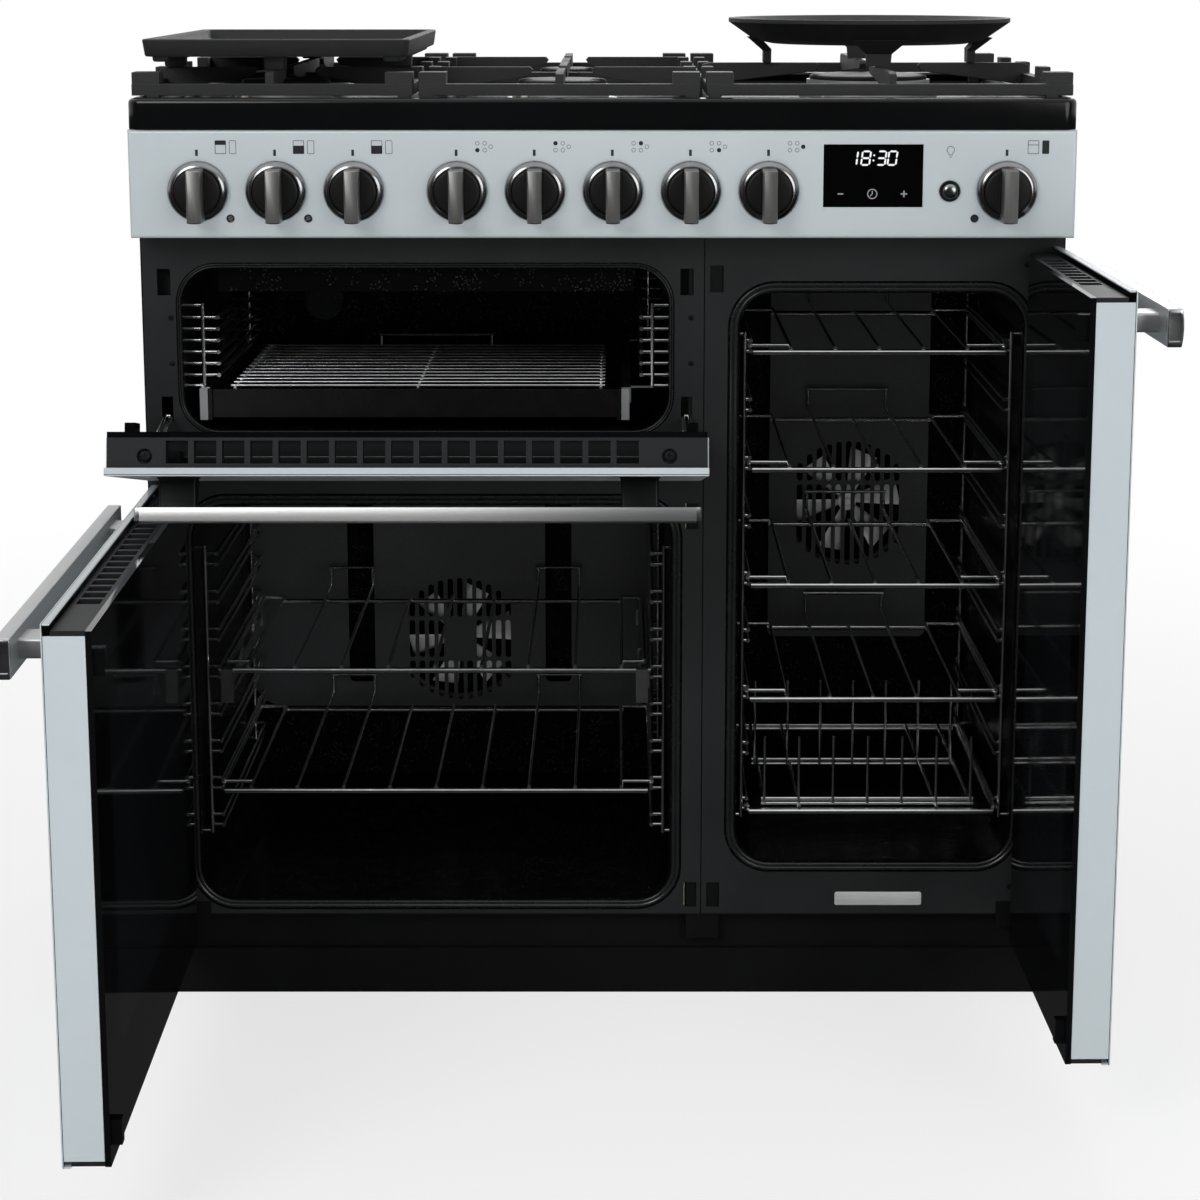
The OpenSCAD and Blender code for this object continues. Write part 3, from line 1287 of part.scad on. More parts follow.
place() grill_door_stays();
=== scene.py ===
import bpy, bmesh
from math import cos, sin, pi, radians, sqrt
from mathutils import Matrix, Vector


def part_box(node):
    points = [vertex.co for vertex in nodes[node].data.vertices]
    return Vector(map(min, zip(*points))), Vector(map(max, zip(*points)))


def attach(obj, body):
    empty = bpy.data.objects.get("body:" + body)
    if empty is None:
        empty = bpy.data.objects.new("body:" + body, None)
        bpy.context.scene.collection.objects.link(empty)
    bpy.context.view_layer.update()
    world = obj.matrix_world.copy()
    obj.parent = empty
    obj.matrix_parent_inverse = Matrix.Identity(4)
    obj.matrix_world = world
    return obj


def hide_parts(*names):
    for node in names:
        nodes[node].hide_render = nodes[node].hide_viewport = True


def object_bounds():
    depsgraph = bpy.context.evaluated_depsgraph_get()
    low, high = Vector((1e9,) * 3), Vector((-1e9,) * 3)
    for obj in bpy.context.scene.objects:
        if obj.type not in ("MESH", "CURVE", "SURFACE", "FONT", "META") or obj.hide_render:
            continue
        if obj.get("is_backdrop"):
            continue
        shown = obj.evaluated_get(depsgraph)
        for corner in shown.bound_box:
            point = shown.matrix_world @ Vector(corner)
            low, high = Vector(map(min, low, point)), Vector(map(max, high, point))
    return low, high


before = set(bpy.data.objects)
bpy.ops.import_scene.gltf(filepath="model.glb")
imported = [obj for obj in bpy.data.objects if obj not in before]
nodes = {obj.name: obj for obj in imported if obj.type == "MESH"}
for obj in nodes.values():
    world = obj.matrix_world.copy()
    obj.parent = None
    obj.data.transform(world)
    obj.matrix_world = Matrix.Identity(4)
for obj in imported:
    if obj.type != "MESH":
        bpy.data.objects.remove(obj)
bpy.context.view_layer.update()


# ---- Studio ----
# A pale floor and a plain white room with soft lamps. The camera stands before the cooker, a little above the
# hob, and looks slightly down. The floor keeps a soft shadow of the cooker, and shiny surfaces see it dark.

class Tone:
    """A socket in a finish. Sums and products of tones add Math nodes."""

    def __init__(self, finish, socket):
        self.finish, self.socket = finish, socket

    def calc(self, operation, first, second):
        return self.finish.node("Math", {"operation": operation}, {0: first, 1: second})

    def __add__(self, other): return self.calc("ADD", self, other)
    def __radd__(self, other): return self.calc("ADD", other, self)
    def __sub__(self, other): return self.calc("SUBTRACT", self, other)
    def __rsub__(self, other): return self.calc("SUBTRACT", other, self)
    def __mul__(self, other): return self.calc("MULTIPLY", self, other)
    def __rmul__(self, other): return self.calc("MULTIPLY", other, self)
    def __gt__(self, other): return self.calc("GREATER_THAN", self, other)
    def __lt__(self, other): return self.calc("LESS_THAN", self, other)
    def __or__(self, other): return self.calc("MAXIMUM", self, other)


class Finish:
    """A node tree: node() adds one node from its type, its settings and the values or links of its sockets."""

    def __init__(self, name, tree=None):
        if tree is None:
            self.material = bpy.data.materials.new(name)
            self.material.use_nodes = True
            tree = self.material.node_tree
        tree.nodes.clear()
        self.tree = tree

    def node(self, kind, settings=(), sockets=(), out=0):
        made = self.tree.nodes.new("ShaderNode" + kind)
        for key, value in dict(settings).items():
            setattr(made, key, value)
        for key, value in dict(sockets).items():
            if isinstance(value, Tone):
                self.tree.links.new(value.socket, made.inputs[key])
            else:
                made.inputs[key].default_value = value
        return Tone(self, made.outputs[out])

    def end(self, shader, kind="Material"):
        surface = self.tree.nodes.new("ShaderNodeOutput" + kind).inputs["Surface"]
        self.tree.links.new(shader.socket, surface)
        return self

    def rays(self):
        """1 where the camera or a glass looks straight at it, and 1 where a shiny surface does."""
        ray = [self.node("LightPath", out=name) for name in
               ("Is Camera Ray", "Is Glossy Ray", "Is Transmission Ray")]
        return ray[0] | ray[2], ray[1]

    def ease(self, value, low, high):
        """Rises from 0 at low to 1 at high."""
        return self.node("MapRange", {"interpolation_type": "SMOOTHSTEP"}, {0: value, 1: low, 2: high})


def ink(code):
    """A colour written as a screen colour, such as b6bdc3."""
    parts = [int(code[i:i + 2], 16) / 255 for i in (0, 2, 4)]
    return tuple(c / 12.92 if c <= 0.04045 else ((c + 0.055) / 1.055) ** 2.4 for c in parts) + (1.0,)


front_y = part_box("control_panel")[0].y


def at(x, y, z):
    """A point given in millimetres from the middle of the panel's face and the floor."""
    return Vector((x / 1000, front_y + y / 1000, z / 1000))


scene = bpy.context.scene
scene.view_settings.view_transform = "Standard"
camera = bpy.data.objects.new("camera", bpy.data.cameras.new("camera"))
scene.collection.objects.link(camera)
scene.camera = camera
camera.data.sensor_width = 36
camera.data.lens = 77.0
camera.data.shift_x, camera.data.shift_y = -0.013, -0.14
camera.data.clip_end = 60
camera.location = at(12.5, -2439.7, 1039.5)
camera.rotation_euler = (radians(90 - 10.339), 0, 0)

floor_mesh = bmesh.new()
bmesh.ops.create_circle(floor_mesh, cap_ends=True, segments=96, radius=14)
floor_data = bpy.data.meshes.new("studio_floor")
floor_mesh.to_mesh(floor_data)
floor_mesh.free()
studio_floor = bpy.data.objects.new("studio_floor", floor_data)
scene.collection.objects.link(studio_floor)
floor_paint = Finish("studio_floor")
straight, mirrored = floor_paint.rays()
floor_place = floor_paint.node("TexCoord", out="Object")
away = floor_paint.node("VectorMath", {"operation": "LENGTH"}, {0: floor_place}, "Value")
matt = floor_paint.node("BsdfDiffuse", (), {"Color": (0.9, 0.9, 0.9, 1)})
white = floor_paint.node("Emission", (), {"Color": (1, 1, 1, 1), "Strength": 1.0})
grey = floor_paint.node("Emission", (), {"Color": (0.03, 0.03, 0.03, 1), "Strength": 1.0})
# Near the cooker the floor is half matt, so that its shadow shows; what shines sees it as a dark floor
share = straight * (0.7 + 0.3 * floor_paint.ease(away, 1.0, 2.6))
lit = floor_paint.node("MixShader", (), {0: share, 1: matt, 2: white})
floor_paint.end(floor_paint.node("MixShader", (), {0: mirrored, 1: lit, 2: grey}))
floor_data.materials.append(floor_paint.material)
studio_floor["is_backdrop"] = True

world = bpy.data.worlds.new("white_room")
scene.world = world
world.use_nodes = True
room = Finish("white_room", world.node_tree)
straight, mirrored = room.rays()
heading = room.node("TexCoord", out="Generated")
forward = room.node("SeparateXYZ", (), {0: heading}, 1)
upward = room.node("SeparateXYZ", (), {0: heading}, 2)
plain = room.node("Background", (), {"Color": (1, 1, 1, 1), "Strength": 0.45})
bright = room.node("Background", (), {"Color": (1, 1, 1, 1), "Strength": 1.0})
gloom = room.node("Background", (), {"Color": (0.012, 0.012, 0.012, 1), "Strength": 1.0})
lit = room.node("MixShader", (), {0: straight | mirrored, 1: plain, 2: bright})
dark = mirrored * (1 - room.ease(forward, -0.6, 0.1)) * (1 - room.ease(upward, 0.35, 0.75))
room.end(room.node("MixShader", (), {0: dark, 1: lit, 2: gloom}), "World")

# Each lamp's place, what it points at, its width in metres and its power in watts
for name, place, aim, size, power in (
        ("key_lamp", (-1900, -3000, 2600), (0, 200, 500), 1.8, 50),
        ("fill_lamp", (2300, -2800, 1500), (0, 200, 450), 2.0, 34),
        ("oven_lamp", (0, -3300, 700), (0, 400, 450), 1.2, 20),
        ("back_lamp", (600, 3200, 2600), (0, 300, 500), 2.2, 46)):
    lamp = bpy.data.lights.new(name, "AREA")
    lamp.shape, lamp.size, lamp.energy = "DISK", size, power
    holder = bpy.data.objects.new(name, lamp)
    holder.visible_glossy = name != "oven_lamp"  # it would show as a pale haze on black glass
    scene.collection.objects.link(holder)
    holder.location = at(*place)
    holder.rotation_euler = (at(*aim) - at(*place)).to_track_quat("-Z", "Y").to_euler()


# ---- Side panels, base tray and plinth ----
# Folded steel sheet with a black powder coat: satin, with the fine orange-peel skin that such a coat bakes to.
# The sides hang on the base tray and the plinth clips in front of it, above the floor.

def spread(finish, stretch=(1, 1, 1)):
    """The piece's own place in metres, stretched for a grain."""
    place = finish.node("TexCoord", out="Object")
    return finish.node("VectorMath", {"operation": "MULTIPLY"}, {0: place, 1: stretch})


def mottle(finish, size, stretch=(1, 1, 1), detail=3.0, rough=0.55):
    """Cloudy noise from 0 to 1, with lumps about size metres wide."""
    return finish.node("TexNoise", (), {"Vector": spread(finish, stretch), "Scale": 1 / size, "Detail": detail,
                                        "Roughness": rough})


def blend(finish, share, low, high):
    """A colour between low and high."""
    return finish.node("Mix", {"data_type": "RGBA"}, {0: share, 6: low, 7: high}, 2)


def coat(finish, colour, rough, height, depth=0.0002, metal=0.0, **fixed):
    """The surface shader, with its relief; fixed sockets are the same all over."""
    relief = finish.node("Bump", (), {"Height": height, "Distance": depth, "Strength": 0.6})
    values = {"Base Color": colour, "Roughness": rough, "Metallic": metal, "Normal": relief}
    values.update({key.replace("_", " "): value for key, value in fixed.items()})
    return finish.end(finish.node("BsdfPrincipled", (), values))


def dress(finish, *names):
    for name in names:
        for slot in nodes[name].material_slots:
            slot.material = finish.material


def powder_coat(name, dark="060607", pale="111213", rough=0.5):
    finish = Finish(name)
    peel = mottle(finish, 0.0011, detail=2)
    haze = mottle(finish, 0.09, detail=4)
    scuff = mottle(finish, 0.006, (1, 1, 6), 4)
    colour = blend(finish, haze * 0.6 + scuff * 0.25, ink(dark), ink(pale))
    return coat(finish, colour, rough - 0.08 + haze * 0.14 + scuff * 0.06, peel, 0.00006, 0.0,
                Specular_IOR_Level=0.2)


case_black = powder_coat("case_powder_coat")
dress(case_black, "side_panels", "base_tray", "plinth")


# ---- Back panel, feet and rollers ----
# Galvanised sheet with its crystal spangle, screwed to the carcass, and plated feet and rollers.
# The zinc is dull, with white bloom in places and faint scratches from handling.

def galvanised(name, tone="8f9496", grain=0.014):
    finish = Finish(name)
    crystal = finish.node("TexVoronoi", {"feature": "F1"}, {"Vector": spread(finish), "Scale": 1 / grain,
                                                            "Randomness": 1.0}, "Color")
    facet = finish.node("SeparateColor", (), {0: crystal}, 0)
    bloom = mottle(finish, 0.12, detail=5)
    scratch = mottle(finish, 0.0016, (1, 1, 0.05), 2)
    colour = blend(finish, facet * 0.55 + bloom * 0.35, ink("6d7275"), ink(tone))
    return coat(finish, colour, 0.34 + facet * 0.16 + bloom * 0.12, scratch + facet, 0.00005, 0.9)


zinc = galvanised("galvanised_sheet")
dress(zinc, "back_panel")
plated = galvanised("zinc_plate", "9a9c9b", 0.003)
dress(plated, "levelling_feet", "rear_rollers", "fan_motors")


def add_piece(name, shape, body, finish, sharp=32):
    """Turns a built shape into a piece that rides on a body."""
    bmesh.ops.recalc_face_normals(shape, faces=shape.faces)
    for face in shape.faces:
        face.smooth = True
    for edge in shape.edges:
        edge.smooth = edge.calc_face_angle(0) < radians(sharp)
    mesh = bpy.data.meshes.new(name)
    shape.to_mesh(mesh)
    shape.free()
    mesh.materials.append(finish.material)
    piece = bpy.data.objects.new(name, mesh)
    scene.collection.objects.link(piece)
    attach(piece, body)
    return piece


def turned(shape, profile, put, sides=40, close=True):
    """Spins (radius, height) pairs round an axis. put(a, b, h) gives the point at a, b across it and h along it."""
    rings = []
    for radius, height in profile:
        turns = [2 * pi * i / sides for i in range(sides if radius > 0 else 1)]
        rings.append([shape.verts.new(put(radius * cos(a), radius * sin(a), height)) for a in turns])
    for low, high in zip(rings, rings[1:]):
        for i in range(sides):
            j = (i + 1) % sides
            corners = [low[i % len(low)], low[j % len(low)], high[j % len(high)], high[i % len(high)]]
            shape.faces.new(list(dict.fromkeys(corners)))
    if close:
        for ring in (rings[0], rings[-1]):
            if len(ring) > 2:
                shape.faces.new(ring)


def skin(shape, rings, cap_first=False, cap_last=False):
    """Joins rings of equal count with faces."""
    for low, high in zip(rings, rings[1:]):
        for i in range(len(low)):
            j = (i + 1) % len(low)
            shape.faces.new([low[i], low[j], high[j], high[i]])
    if cap_first:
        shape.faces.new(rings[0])
    if cap_last:
        shape.faces.new(rings[-1])


def screw(shape, put, radius, height=1.6):
    """A domed head with a cross recess."""
    sides = 24
    rings = []
    for share, rise in ((1.0, 0), (1.0, 0.35), (0.9, 0.7), (0.72, 0.95), (0.6, 1.0)):
        rings.append([(share * radius, rise * height)] * sides)
    cross = [0.56 if i % 6 in (0, 1, 5) else 0.2 for i in range(sides)]
    rings.append([(c * radius, 0.98 * height) for c in cross])
    rings.append([(c * radius * 0.85, 0.4 * height) for c in cross])
    skin(shape, [[shape.verts.new(put(r * cos(2 * pi * i / sides), r * sin(2 * pi * i / sides), h))
                  for i, (r, h) in enumerate(ring)] for ring in rings], True, True)


def round_box(x0, x1, z0, z1, radius, steps=4, grow=0):
    """Points round a rectangle with rounded corners; grow pushes them all outwards."""
    points = []
    for x, z, start in ((x1 - radius, z1 - radius, 0), (x0 + radius, z1 - radius, 90),
                        (x0 + radius, z0 + radius, 180), (x1 - radius, z0 + radius, 270)):
        for k in range(steps + 1):
            a = radians(start + 90 * k / steps)
            points.append((x + (radius + grow) * cos(a), z + (radius + grow) * sin(a)))
    return points


back_screws = bmesh.new()
for x in (-437, 0, 437):
    for z in (90, 480, 863):
        screw(back_screws, lambda a, b, h: at(x + a, 600.3 + h, z + b), 4.2)
for x in (290, 390):
    for z in (202, 278):
        screw(back_screws, lambda a, b, h: at(x + a, 599.6 + h, z + b), 3)
add_piece("back_screws", back_screws, "carcass", plated)


# ---- Liners and front frame ----
# Pressed steel with black vitreous enamel: glassy, faintly wavy, with small pale specks inside the ovens.
# The frame's two pressings meet at a seam right of the middle, and hold the liners by their flanges.

def enamel(name, dark="08090a", pale="151617", specks=0.0, wave=0.02, rough=0.12, shine=0.3):
    finish = Finish(name)
    cloud = mottle(finish, 0.12, detail=3)
    ripple = mottle(finish, wave, detail=2)
    pit = mottle(finish, 0.0024, detail=2)
    colour = blend(finish, cloud, ink(dark), ink(pale))
    if specks:
        dots = finish.node("TexVoronoi", {"feature": "F1"}, {"Vector": spread(finish), "Scale": 420.0,
                                                             "Randomness": 1.0}, "Distance")
        thin = mottle(finish, 0.02, detail=2) > 0.5
        colour = blend(finish, (dots < 0.2) * thin * specks, colour, ink("6f7274"))
    return coat(finish, colour, rough + cloud * 0.06 + pit * 0.05, ripple + pit * 0.04, 0.00022, 0.0,
                Specular_IOR_Level=shine)


frame_enamel = enamel("frame_enamel", "191a1b", "292a2b", rough=0.3, shine=0.22)
oven_enamel = enamel("oven_enamel", "030303", "070708", 0.25, rough=0.2, shine=0.14)
dress(frame_enamel, "front_frame")
dress(oven_enamel, "left_oven_liner", "right_oven_liner", "grill_liner")

wool = Finish("mineral_wool")
strands = mottle(wool, 0.004, (1, 6, 1), 8, 0.7)
coat(wool, blend(wool, strands, ink("8d8768"), ink("c9c3a6")), 0.85 + strands * 0.1, strands, 0.004)
dress(wool, "insulation")

frame_screws = bmesh.new()
for x, z in ((412, 752), (412, 118), (-412, 118), (-421, 655), (-421, 700), (86, 700), (86, 655)):
    screw(frame_screws, lambda a, b, h: at(x + a, 41.9 - h, z + b), 2.6, 1.3)
add_piece("frame_screws", frame_screws, "carcass", case_black)

# Behind the frame a folded strip closes the seam, and a black pocket stands behind each catch hole
pockets = bmesh.new()
for x, z in ((88, 109), (88, 502), (111, 109), (111, 738), (-427, 735), (82, 735)):
    skin(pockets, [[pockets.verts.new(at(x + a, y, z + b)) for a, b in ((-9, -15), (9, -15), (9, 15), (-9, 15))]
                   for y in (43.6, 56)], False, True)
strip = [[pockets.verts.new(at(x, y, z)) for x, y in ((84, 48), (84, 44.2), (117, 44.2), (117, 48))]
         for z in (62, 784)]
for i in range(3):
    pockets.faces.new([strip[0][i], strip[0][i + 1], strip[1][i + 1], strip[1][i]])
add_piece("frame_backing", pockets, "carcass", case_black)

plate_finish = Finish("rating_plate")
brush = mottle(plate_finish, 0.0012, (0.04, 1, 1), 3)
coat(plate_finish, blend(plate_finish, brush, ink("b9babb"), ink("dcdddd")), 0.32 + brush * 0.15, brush, 0.00004,
     0.35)
plate = bmesh.new()
skin(plate, [[plate.verts.new(at(279 + x * s, y, 105 + z * s)) for x, z in round_box(-44, 44, -7, 7, 2, 3)]
             for s, y in ((1, 41.9), (1, 41.5), (0.985, 41.35))], True, True)
add_piece("rating_plate", plate, "carcass", plate_finish)


# ---- Door seals ----
# Black silicone seal clipped round each liner's mouth: two glossy lips with a groove between them.
# It is swept round the mouth's rounded corners.

seal = Finish("seal_rubber")
bloom = mottle(seal, 0.03, detail=4)
talc = mottle(seal, 0.0015, detail=3)
coat(seal, blend(seal, bloom * 0.5 + talc * 0.3, ink("101111"), ink("252627")), 0.2 + bloom * 0.14, talc, 0.00005)

mouth_radius = 34
# Across the seal, from 0 at the mouth to 1: share of the width, and place behind the panel's face
lip_section = ((0, 43.4), (0, 41.6), (0.06, 40.9), (0.16, 40.45), (0.28, 40.35), (0.38, 40.7), (0.44, 41.5),
               (0.5, 42.5), (0.58, 42.2), (0.66, 41.6), (0.76, 41.3), (0.88, 41.4), (0.96, 41.9), (1, 42.6), (1, 43.4))
lips = bmesh.new()
for x0, x1, z0, z1, start, width in ((-406, 67, 105, 513, 2, 8), (134, 410, 145, 724, 2, 8),
                                     (-410, 64, 589, 748, 1, 4)):
    skin(lips, [[lips.verts.new(at(x, y, z)) for x, z in
                 round_box(x0, x1, z0, z1, mouth_radius, 10, start + width * share)] for share, y in lip_section])
seal_lips = add_piece("door_seal_lips", lips, "carcass", seal, 60)
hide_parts("door_seals")


# ---- Fan covers, fans, elements and oven lamps ----
# Grey satin enamelled covers with slotted grilles; behind them an aluminium impeller on the motor's shaft turns
# inside a ring element of oxidised steel tube. The lamps have ribbed heat-proof glass.

cover_grey = enamel("cover_enamel", "2c2d2e", "37383a", 0.2, 0.03, 0.36, 0.2)
dress(cover_grey, "fan_covers")

tube = Finish("element_tube")
scale_film = mottle(tube, 0.015, detail=5)
coat(tube, blend(tube, scale_film, ink("3a332e"), ink("77706a")), 0.4 + scale_film * 0.2, scale_film, 0.0002, 0.7)
dress(tube, "heating_elements")

blade_alloy = Finish("impeller_aluminium")
rolled = mottle(blade_alloy, 0.004, (0.2, 1, 1), 4)
film = mottle(blade_alloy, 0.03, detail=3)
coat(blade_alloy, blend(blade_alloy, film, ink("c4c4c3"), ink("f0f0ee")), 0.36 + film * 0.16 + rolled * 0.06, rolled,
     0.00008, 0.25)

for name, x, z in (("left_fan", -166, 276), ("right_fan", 277, 435)):
    wheel = bmesh.new()

    def put(a, b, h):
        return at(x + a, 428 + h, z + b)

    turned(wheel, ((0, -0.5), (3.2, -0.5), (4.4, 0.6), (4.4, 3), (9.2, 3.4), (10, 4.4), (10, 19), (0, 19)), put, 48)
    for blade in range(6):
        turn = 2 * pi * blade / 6 + 0.2
        strip = []
        for k in range(6):
            reach, half = 8 + 10.2 * k, 4 + 2.8 * k  # a blade widens towards its tip and is set at an angle
            across, rise = half * 0.82, half * 0.56
            strip.append([wheel.verts.new(put(reach * cos(turn) - g * across * sin(turn),
                                              reach * sin(turn) + g * across * cos(turn), 10 + g * rise))
                          for g in (-1, -0.5, 0, 0.5, 1)])
        for one, two in zip(strip, strip[1:]):
            for i in range(4):
                wheel.faces.new([one[i], one[i + 1], two[i + 1], two[i]])
    impeller = add_piece(name + "_impeller", wheel, name, blade_alloy)
    thick = impeller.modifiers.new("sheet", "SOLIDIFY")
    thick.thickness, thick.offset = 0.0008, 0
    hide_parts(name)

# The lamp glass is coloured near-black as painted shade, standing in for the unlit dark behind it.
lens = Finish("lamp_glass")
rib = lens.node("TexWave", {"wave_type": "RINGS", "rings_direction": "SPHERICAL"},
                {"Vector": spread(lens), "Scale": 160.0, "Distortion": 0.4})
dust = mottle(lens, 0.006, detail=3)
coat(lens, blend(lens, dust, ink("121314"), ink("232526")), 0.08 + dust * 0.12, rib, 0.0004)
dress(lens, "lamps")


# ---- Side racks, shelves, plate rack and trivet ----
# Bright chromed wire, spot-welded where it crosses, with slightly duller patches here and there.
# The left upper shelf runs on telescopic rails with pressed steel end plates.

def chrome(name, dark="b9bbbd", pale="f2f2f2", rough=0.12):
    finish = Finish(name)
    dull = mottle(finish, 0.02, detail=4)
    draw = mottle(finish, 0.0009, (0.2, 0.2, 0.2), 2)
    colour = blend(finish, dull, ink(dark), ink(pale))
    return coat(finish, colour, rough + dull * 0.16, draw, 0.00003, 1.0)


wire_chrome = chrome("wire_chrome")
dress(wire_chrome, "side_racks", "left_shelf_upper", "left_shelf_lower", "right_shelf_1", "right_shelf_2",
      "right_shelf_3", "right_shelf_4", "plate_rack", "grill_trivet")

# The pan's slides and their end plates, outside its walls, are bare steel
pan_enamel = Finish("pan_enamel")
side_of = pan_enamel.node("SeparateXYZ", (), {0: pan_enamel.node("TexCoord", out="Object")}, 0)
bare = (side_of < -0.3883) | (side_of > 0.0183)
burnt = mottle(pan_enamel, 0.025, detail=4)
coat(pan_enamel, blend(pan_enamel, bare, blend(pan_enamel, burnt, ink("060606"), ink("0f0f10")), ink("a9abad")),
     0.2 + burnt * 0.14 + bare * 0.1, burnt, 0.0001, bare * 0.7, Specular_IOR_Level=0.3)
dress(pan_enamel, "grill_pan")


# ---- Hob tray ----
# One deep pressing in gloss black vitreous enamel, with a rounded outer edge, a flat rim and a shallow well.
# It drops over the case's top and carries the burners and the pan supports.

def rounded(shape, x0, x1, y0, y1, radius, z, steps=6):
    """A level ring round a rectangle with rounded corners."""
    return [shape.verts.new(at(x, y, z)) for x, y in round_box(x0, x1, y0, y1, radius, steps)]


hob = bmesh.new()
levels = [(2, 886), (0.2, 885), (0, 886), (0, 909.5)]
levels += [(4.5 - 4.5 * cos(radians(a)), 909.8 + 4.5 * sin(radians(a))) for a in (20, 40, 60, 80)]
levels += [(5.6, 914.7), (11.5, 914.8)]
levels += [(11.5 + 3.5 * sin(radians(a)), 911.3 + 3.5 * cos(radians(a))) for a in (30, 60, 88)]
levels += [(15.2, 906.5), (16.4, 904.1), (19, 903.1), (24, 903)]
skin(hob, [rounded(hob, -450 + i, 450 - i, i, 600 - i, max(13 - i * 0.5, 5), z) for i, z in levels],
     cap_last=True)
hob_enamel = enamel("hob_enamel", "060607", "0e0f10", 0.0, 0.03, 0.1)
tray = add_piece("hob_pressing", hob, "carcass", hob_enamel)
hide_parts("hob_tray")


# ---- Burners ----
# Cast aluminium crowns with milled flame ports, each under a matt black enamelled steel cap, with a spark
# electrode in a white ceramic sleeve and a flame sensor beside each crown.

crown = Finish("burner_alloy")
cast_skin = mottle(crown, 0.0012, detail=4)
heat = mottle(crown, 0.035, detail=3)
coat(crown, blend(crown, heat, ink("8f9091"), ink("c3c4c4")), 0.4 + heat * 0.15 + cast_skin * 0.08, cast_skin,
     0.00016, 0.75)
dress(crown, "burner_bodies")

cap_black = powder_coat("cap_enamel", "0d0d0e", "1e1f20", 0.52)
ceramic = Finish("electrode_ceramic")
fired = mottle(ceramic, 0.002, detail=3)
coat(ceramic, blend(ceramic, fired, ink("cfcabd"), ink("ece9e0")), 0.3 + fired * 0.15, fired, 0.00005)

burners = ((-317.5, 155, 47), (-317.5, 435, 33), (-41, 435, 33), (-41, 155, 47), (276.5, 270, 64))
lids = bmesh.new()
sleeves = bmesh.new()
probes = bmesh.new()
for x, y, r in burners:
    turned(lids, ((r - 4, 920.6), (r - 3.2, 921.2), (r - 3, 922.4), (r - 3, 923.8), (r - 4, 925.2), (r - 6, 926),
                  (r - 9, 926.4), (r * 0.45, 926.6), (0, 926.6)), lambda a, b, h: at(x + a, y + b, h), 56)
    for angle, shape, profile in (
            (225, sleeves, ((2.6, 903), (3.4, 903.4), (3.4, 911), (2.8, 912), (2.3, 912.4), (2.3, 914), (0, 914))),
            (205, probes, ((3.2, 903), (3.2, 907), (2.2, 907.6), (2.2, 916), (1.4, 917.2), (0, 917.4)))):
        cx, cy = x + (r + 5) * cos(radians(angle)), y + (r + 5) * sin(radians(angle))
        turned(shape, profile, lambda a, b, h: at(cx + a, cy + b, h), 20)
caps = add_piece("burner_lids", lids, "carcass", cap_black)
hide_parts("burner_caps")
add_piece("electrode_sleeves", sleeves, "carcass", ceramic)
add_piece("flame_sensors", probes, "carcass", crown)


# ---- Pan supports, griddle and wok ring ----
# Grey iron castings with matt black enamel over a sandy cast skin, rounded at every edge, with paler blotches here and
# there. The supports stand on pads in the hob's well, the griddle and the ring on the supports.

def cast_iron(name, dark="161617", pale="2c2d2e"):
    finish = Finish(name)
    sand = mottle(finish, 0.0013, detail=5, rough=0.65)
    blotch = mottle(finish, 0.03, detail=3)
    colour = blend(finish, sand * 0.5 + blotch * 0.4, ink(dark), ink(pale))
    return coat(finish, colour, 0.5 + sand * 0.16 + blotch * 0.06, sand, 0.0005, 0.0, Specular_IOR_Level=0.42)


def softened(name, width, finish, body):
    """A node's own shape with its edges rounded, in its place."""
    shape = bmesh.new()
    shape.from_mesh(nodes[name].data)
    bmesh.ops.remove_doubles(shape, verts=shape.verts, dist=0.00002)
    bmesh.ops.dissolve_limit(shape, angle_limit=radians(0.6), verts=shape.verts, edges=shape.edges)
    piece = add_piece(name + "_rounded", shape, body, finish)
    round_off = piece.modifiers.new("rounded_edges", "BEVEL")
    round_off.width, round_off.segments, round_off.limit_method = width / 1000, 2, "ANGLE"
    round_off.angle_limit, round_off.harden_normals = radians(34), False
    round_off.use_clamp_overlap = True
    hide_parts(name)


iron = cast_iron("cast_iron")
for name in ("pan_support_left", "pan_support_centre", "pan_support_right"):
    softened(name, 1.6, iron, name)

plate_iron = cast_iron("griddle_iron", "131314", "262728")
pan = bmesh.new()
gx0, gx1, gy0, gy1 = -443.5, -185.5, 50, 430
walls = ((9, 953), (6, 951.3), (3, 951.6), (2, 953), (0.5, 964), (0, 967), (0.6, 968), (1.6, 968.3), (8, 968.2),
         (9, 967.8), (9.6, 966.6), (12, 959.5), (13.5, 958.1), (17, 957.6), (30, 957.4))
skin(pan, [rounded(pan, gx0 + i, gx1 - i, gy0 + i, gy1 - i, max(9 - 0.2 * i, 4), z) for i, z in walls], cap_first=True,
     cap_last=True)
for x0, x1, y0, y1, z0 in ((-433.5, -417.5, 55, 425, 946.5), (-211.5, -195.5, 55, 425, 946.5),
                           (-327.5, -307.5, 64, 84, 938.4), (-327.5, -307.5, 370, 390, 938.4),
                           (-437.5, -417.5, 144, 164, 938.4), (-211.5, -191.5, 144, 164, 938.4)):
    skin(pan, [rounded(pan, x0 + i, x1 - i, y0 + i, y1 - i, 3, z, 3) for i, z in
               ((2, z0), (0.6, z0 + 0.4), (0, z0 + 1.6), (-0.6, 953))], cap_first=True, cap_last=True)
griddle = add_piece("griddle_casting", pan, "griddle", plate_iron)
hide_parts("griddle")

ring_iron = cast_iron("wok_ring_iron", "111112", "232425")
softened("wok_ring", 1.2, ring_iron, "wok_ring")


# ---- Control gear ----
# Zinc-plated switches and mounting plate behind the fascia, with the gas rail, its taps and pipes in brass.
# The inlet's brass thread stands out at the back.

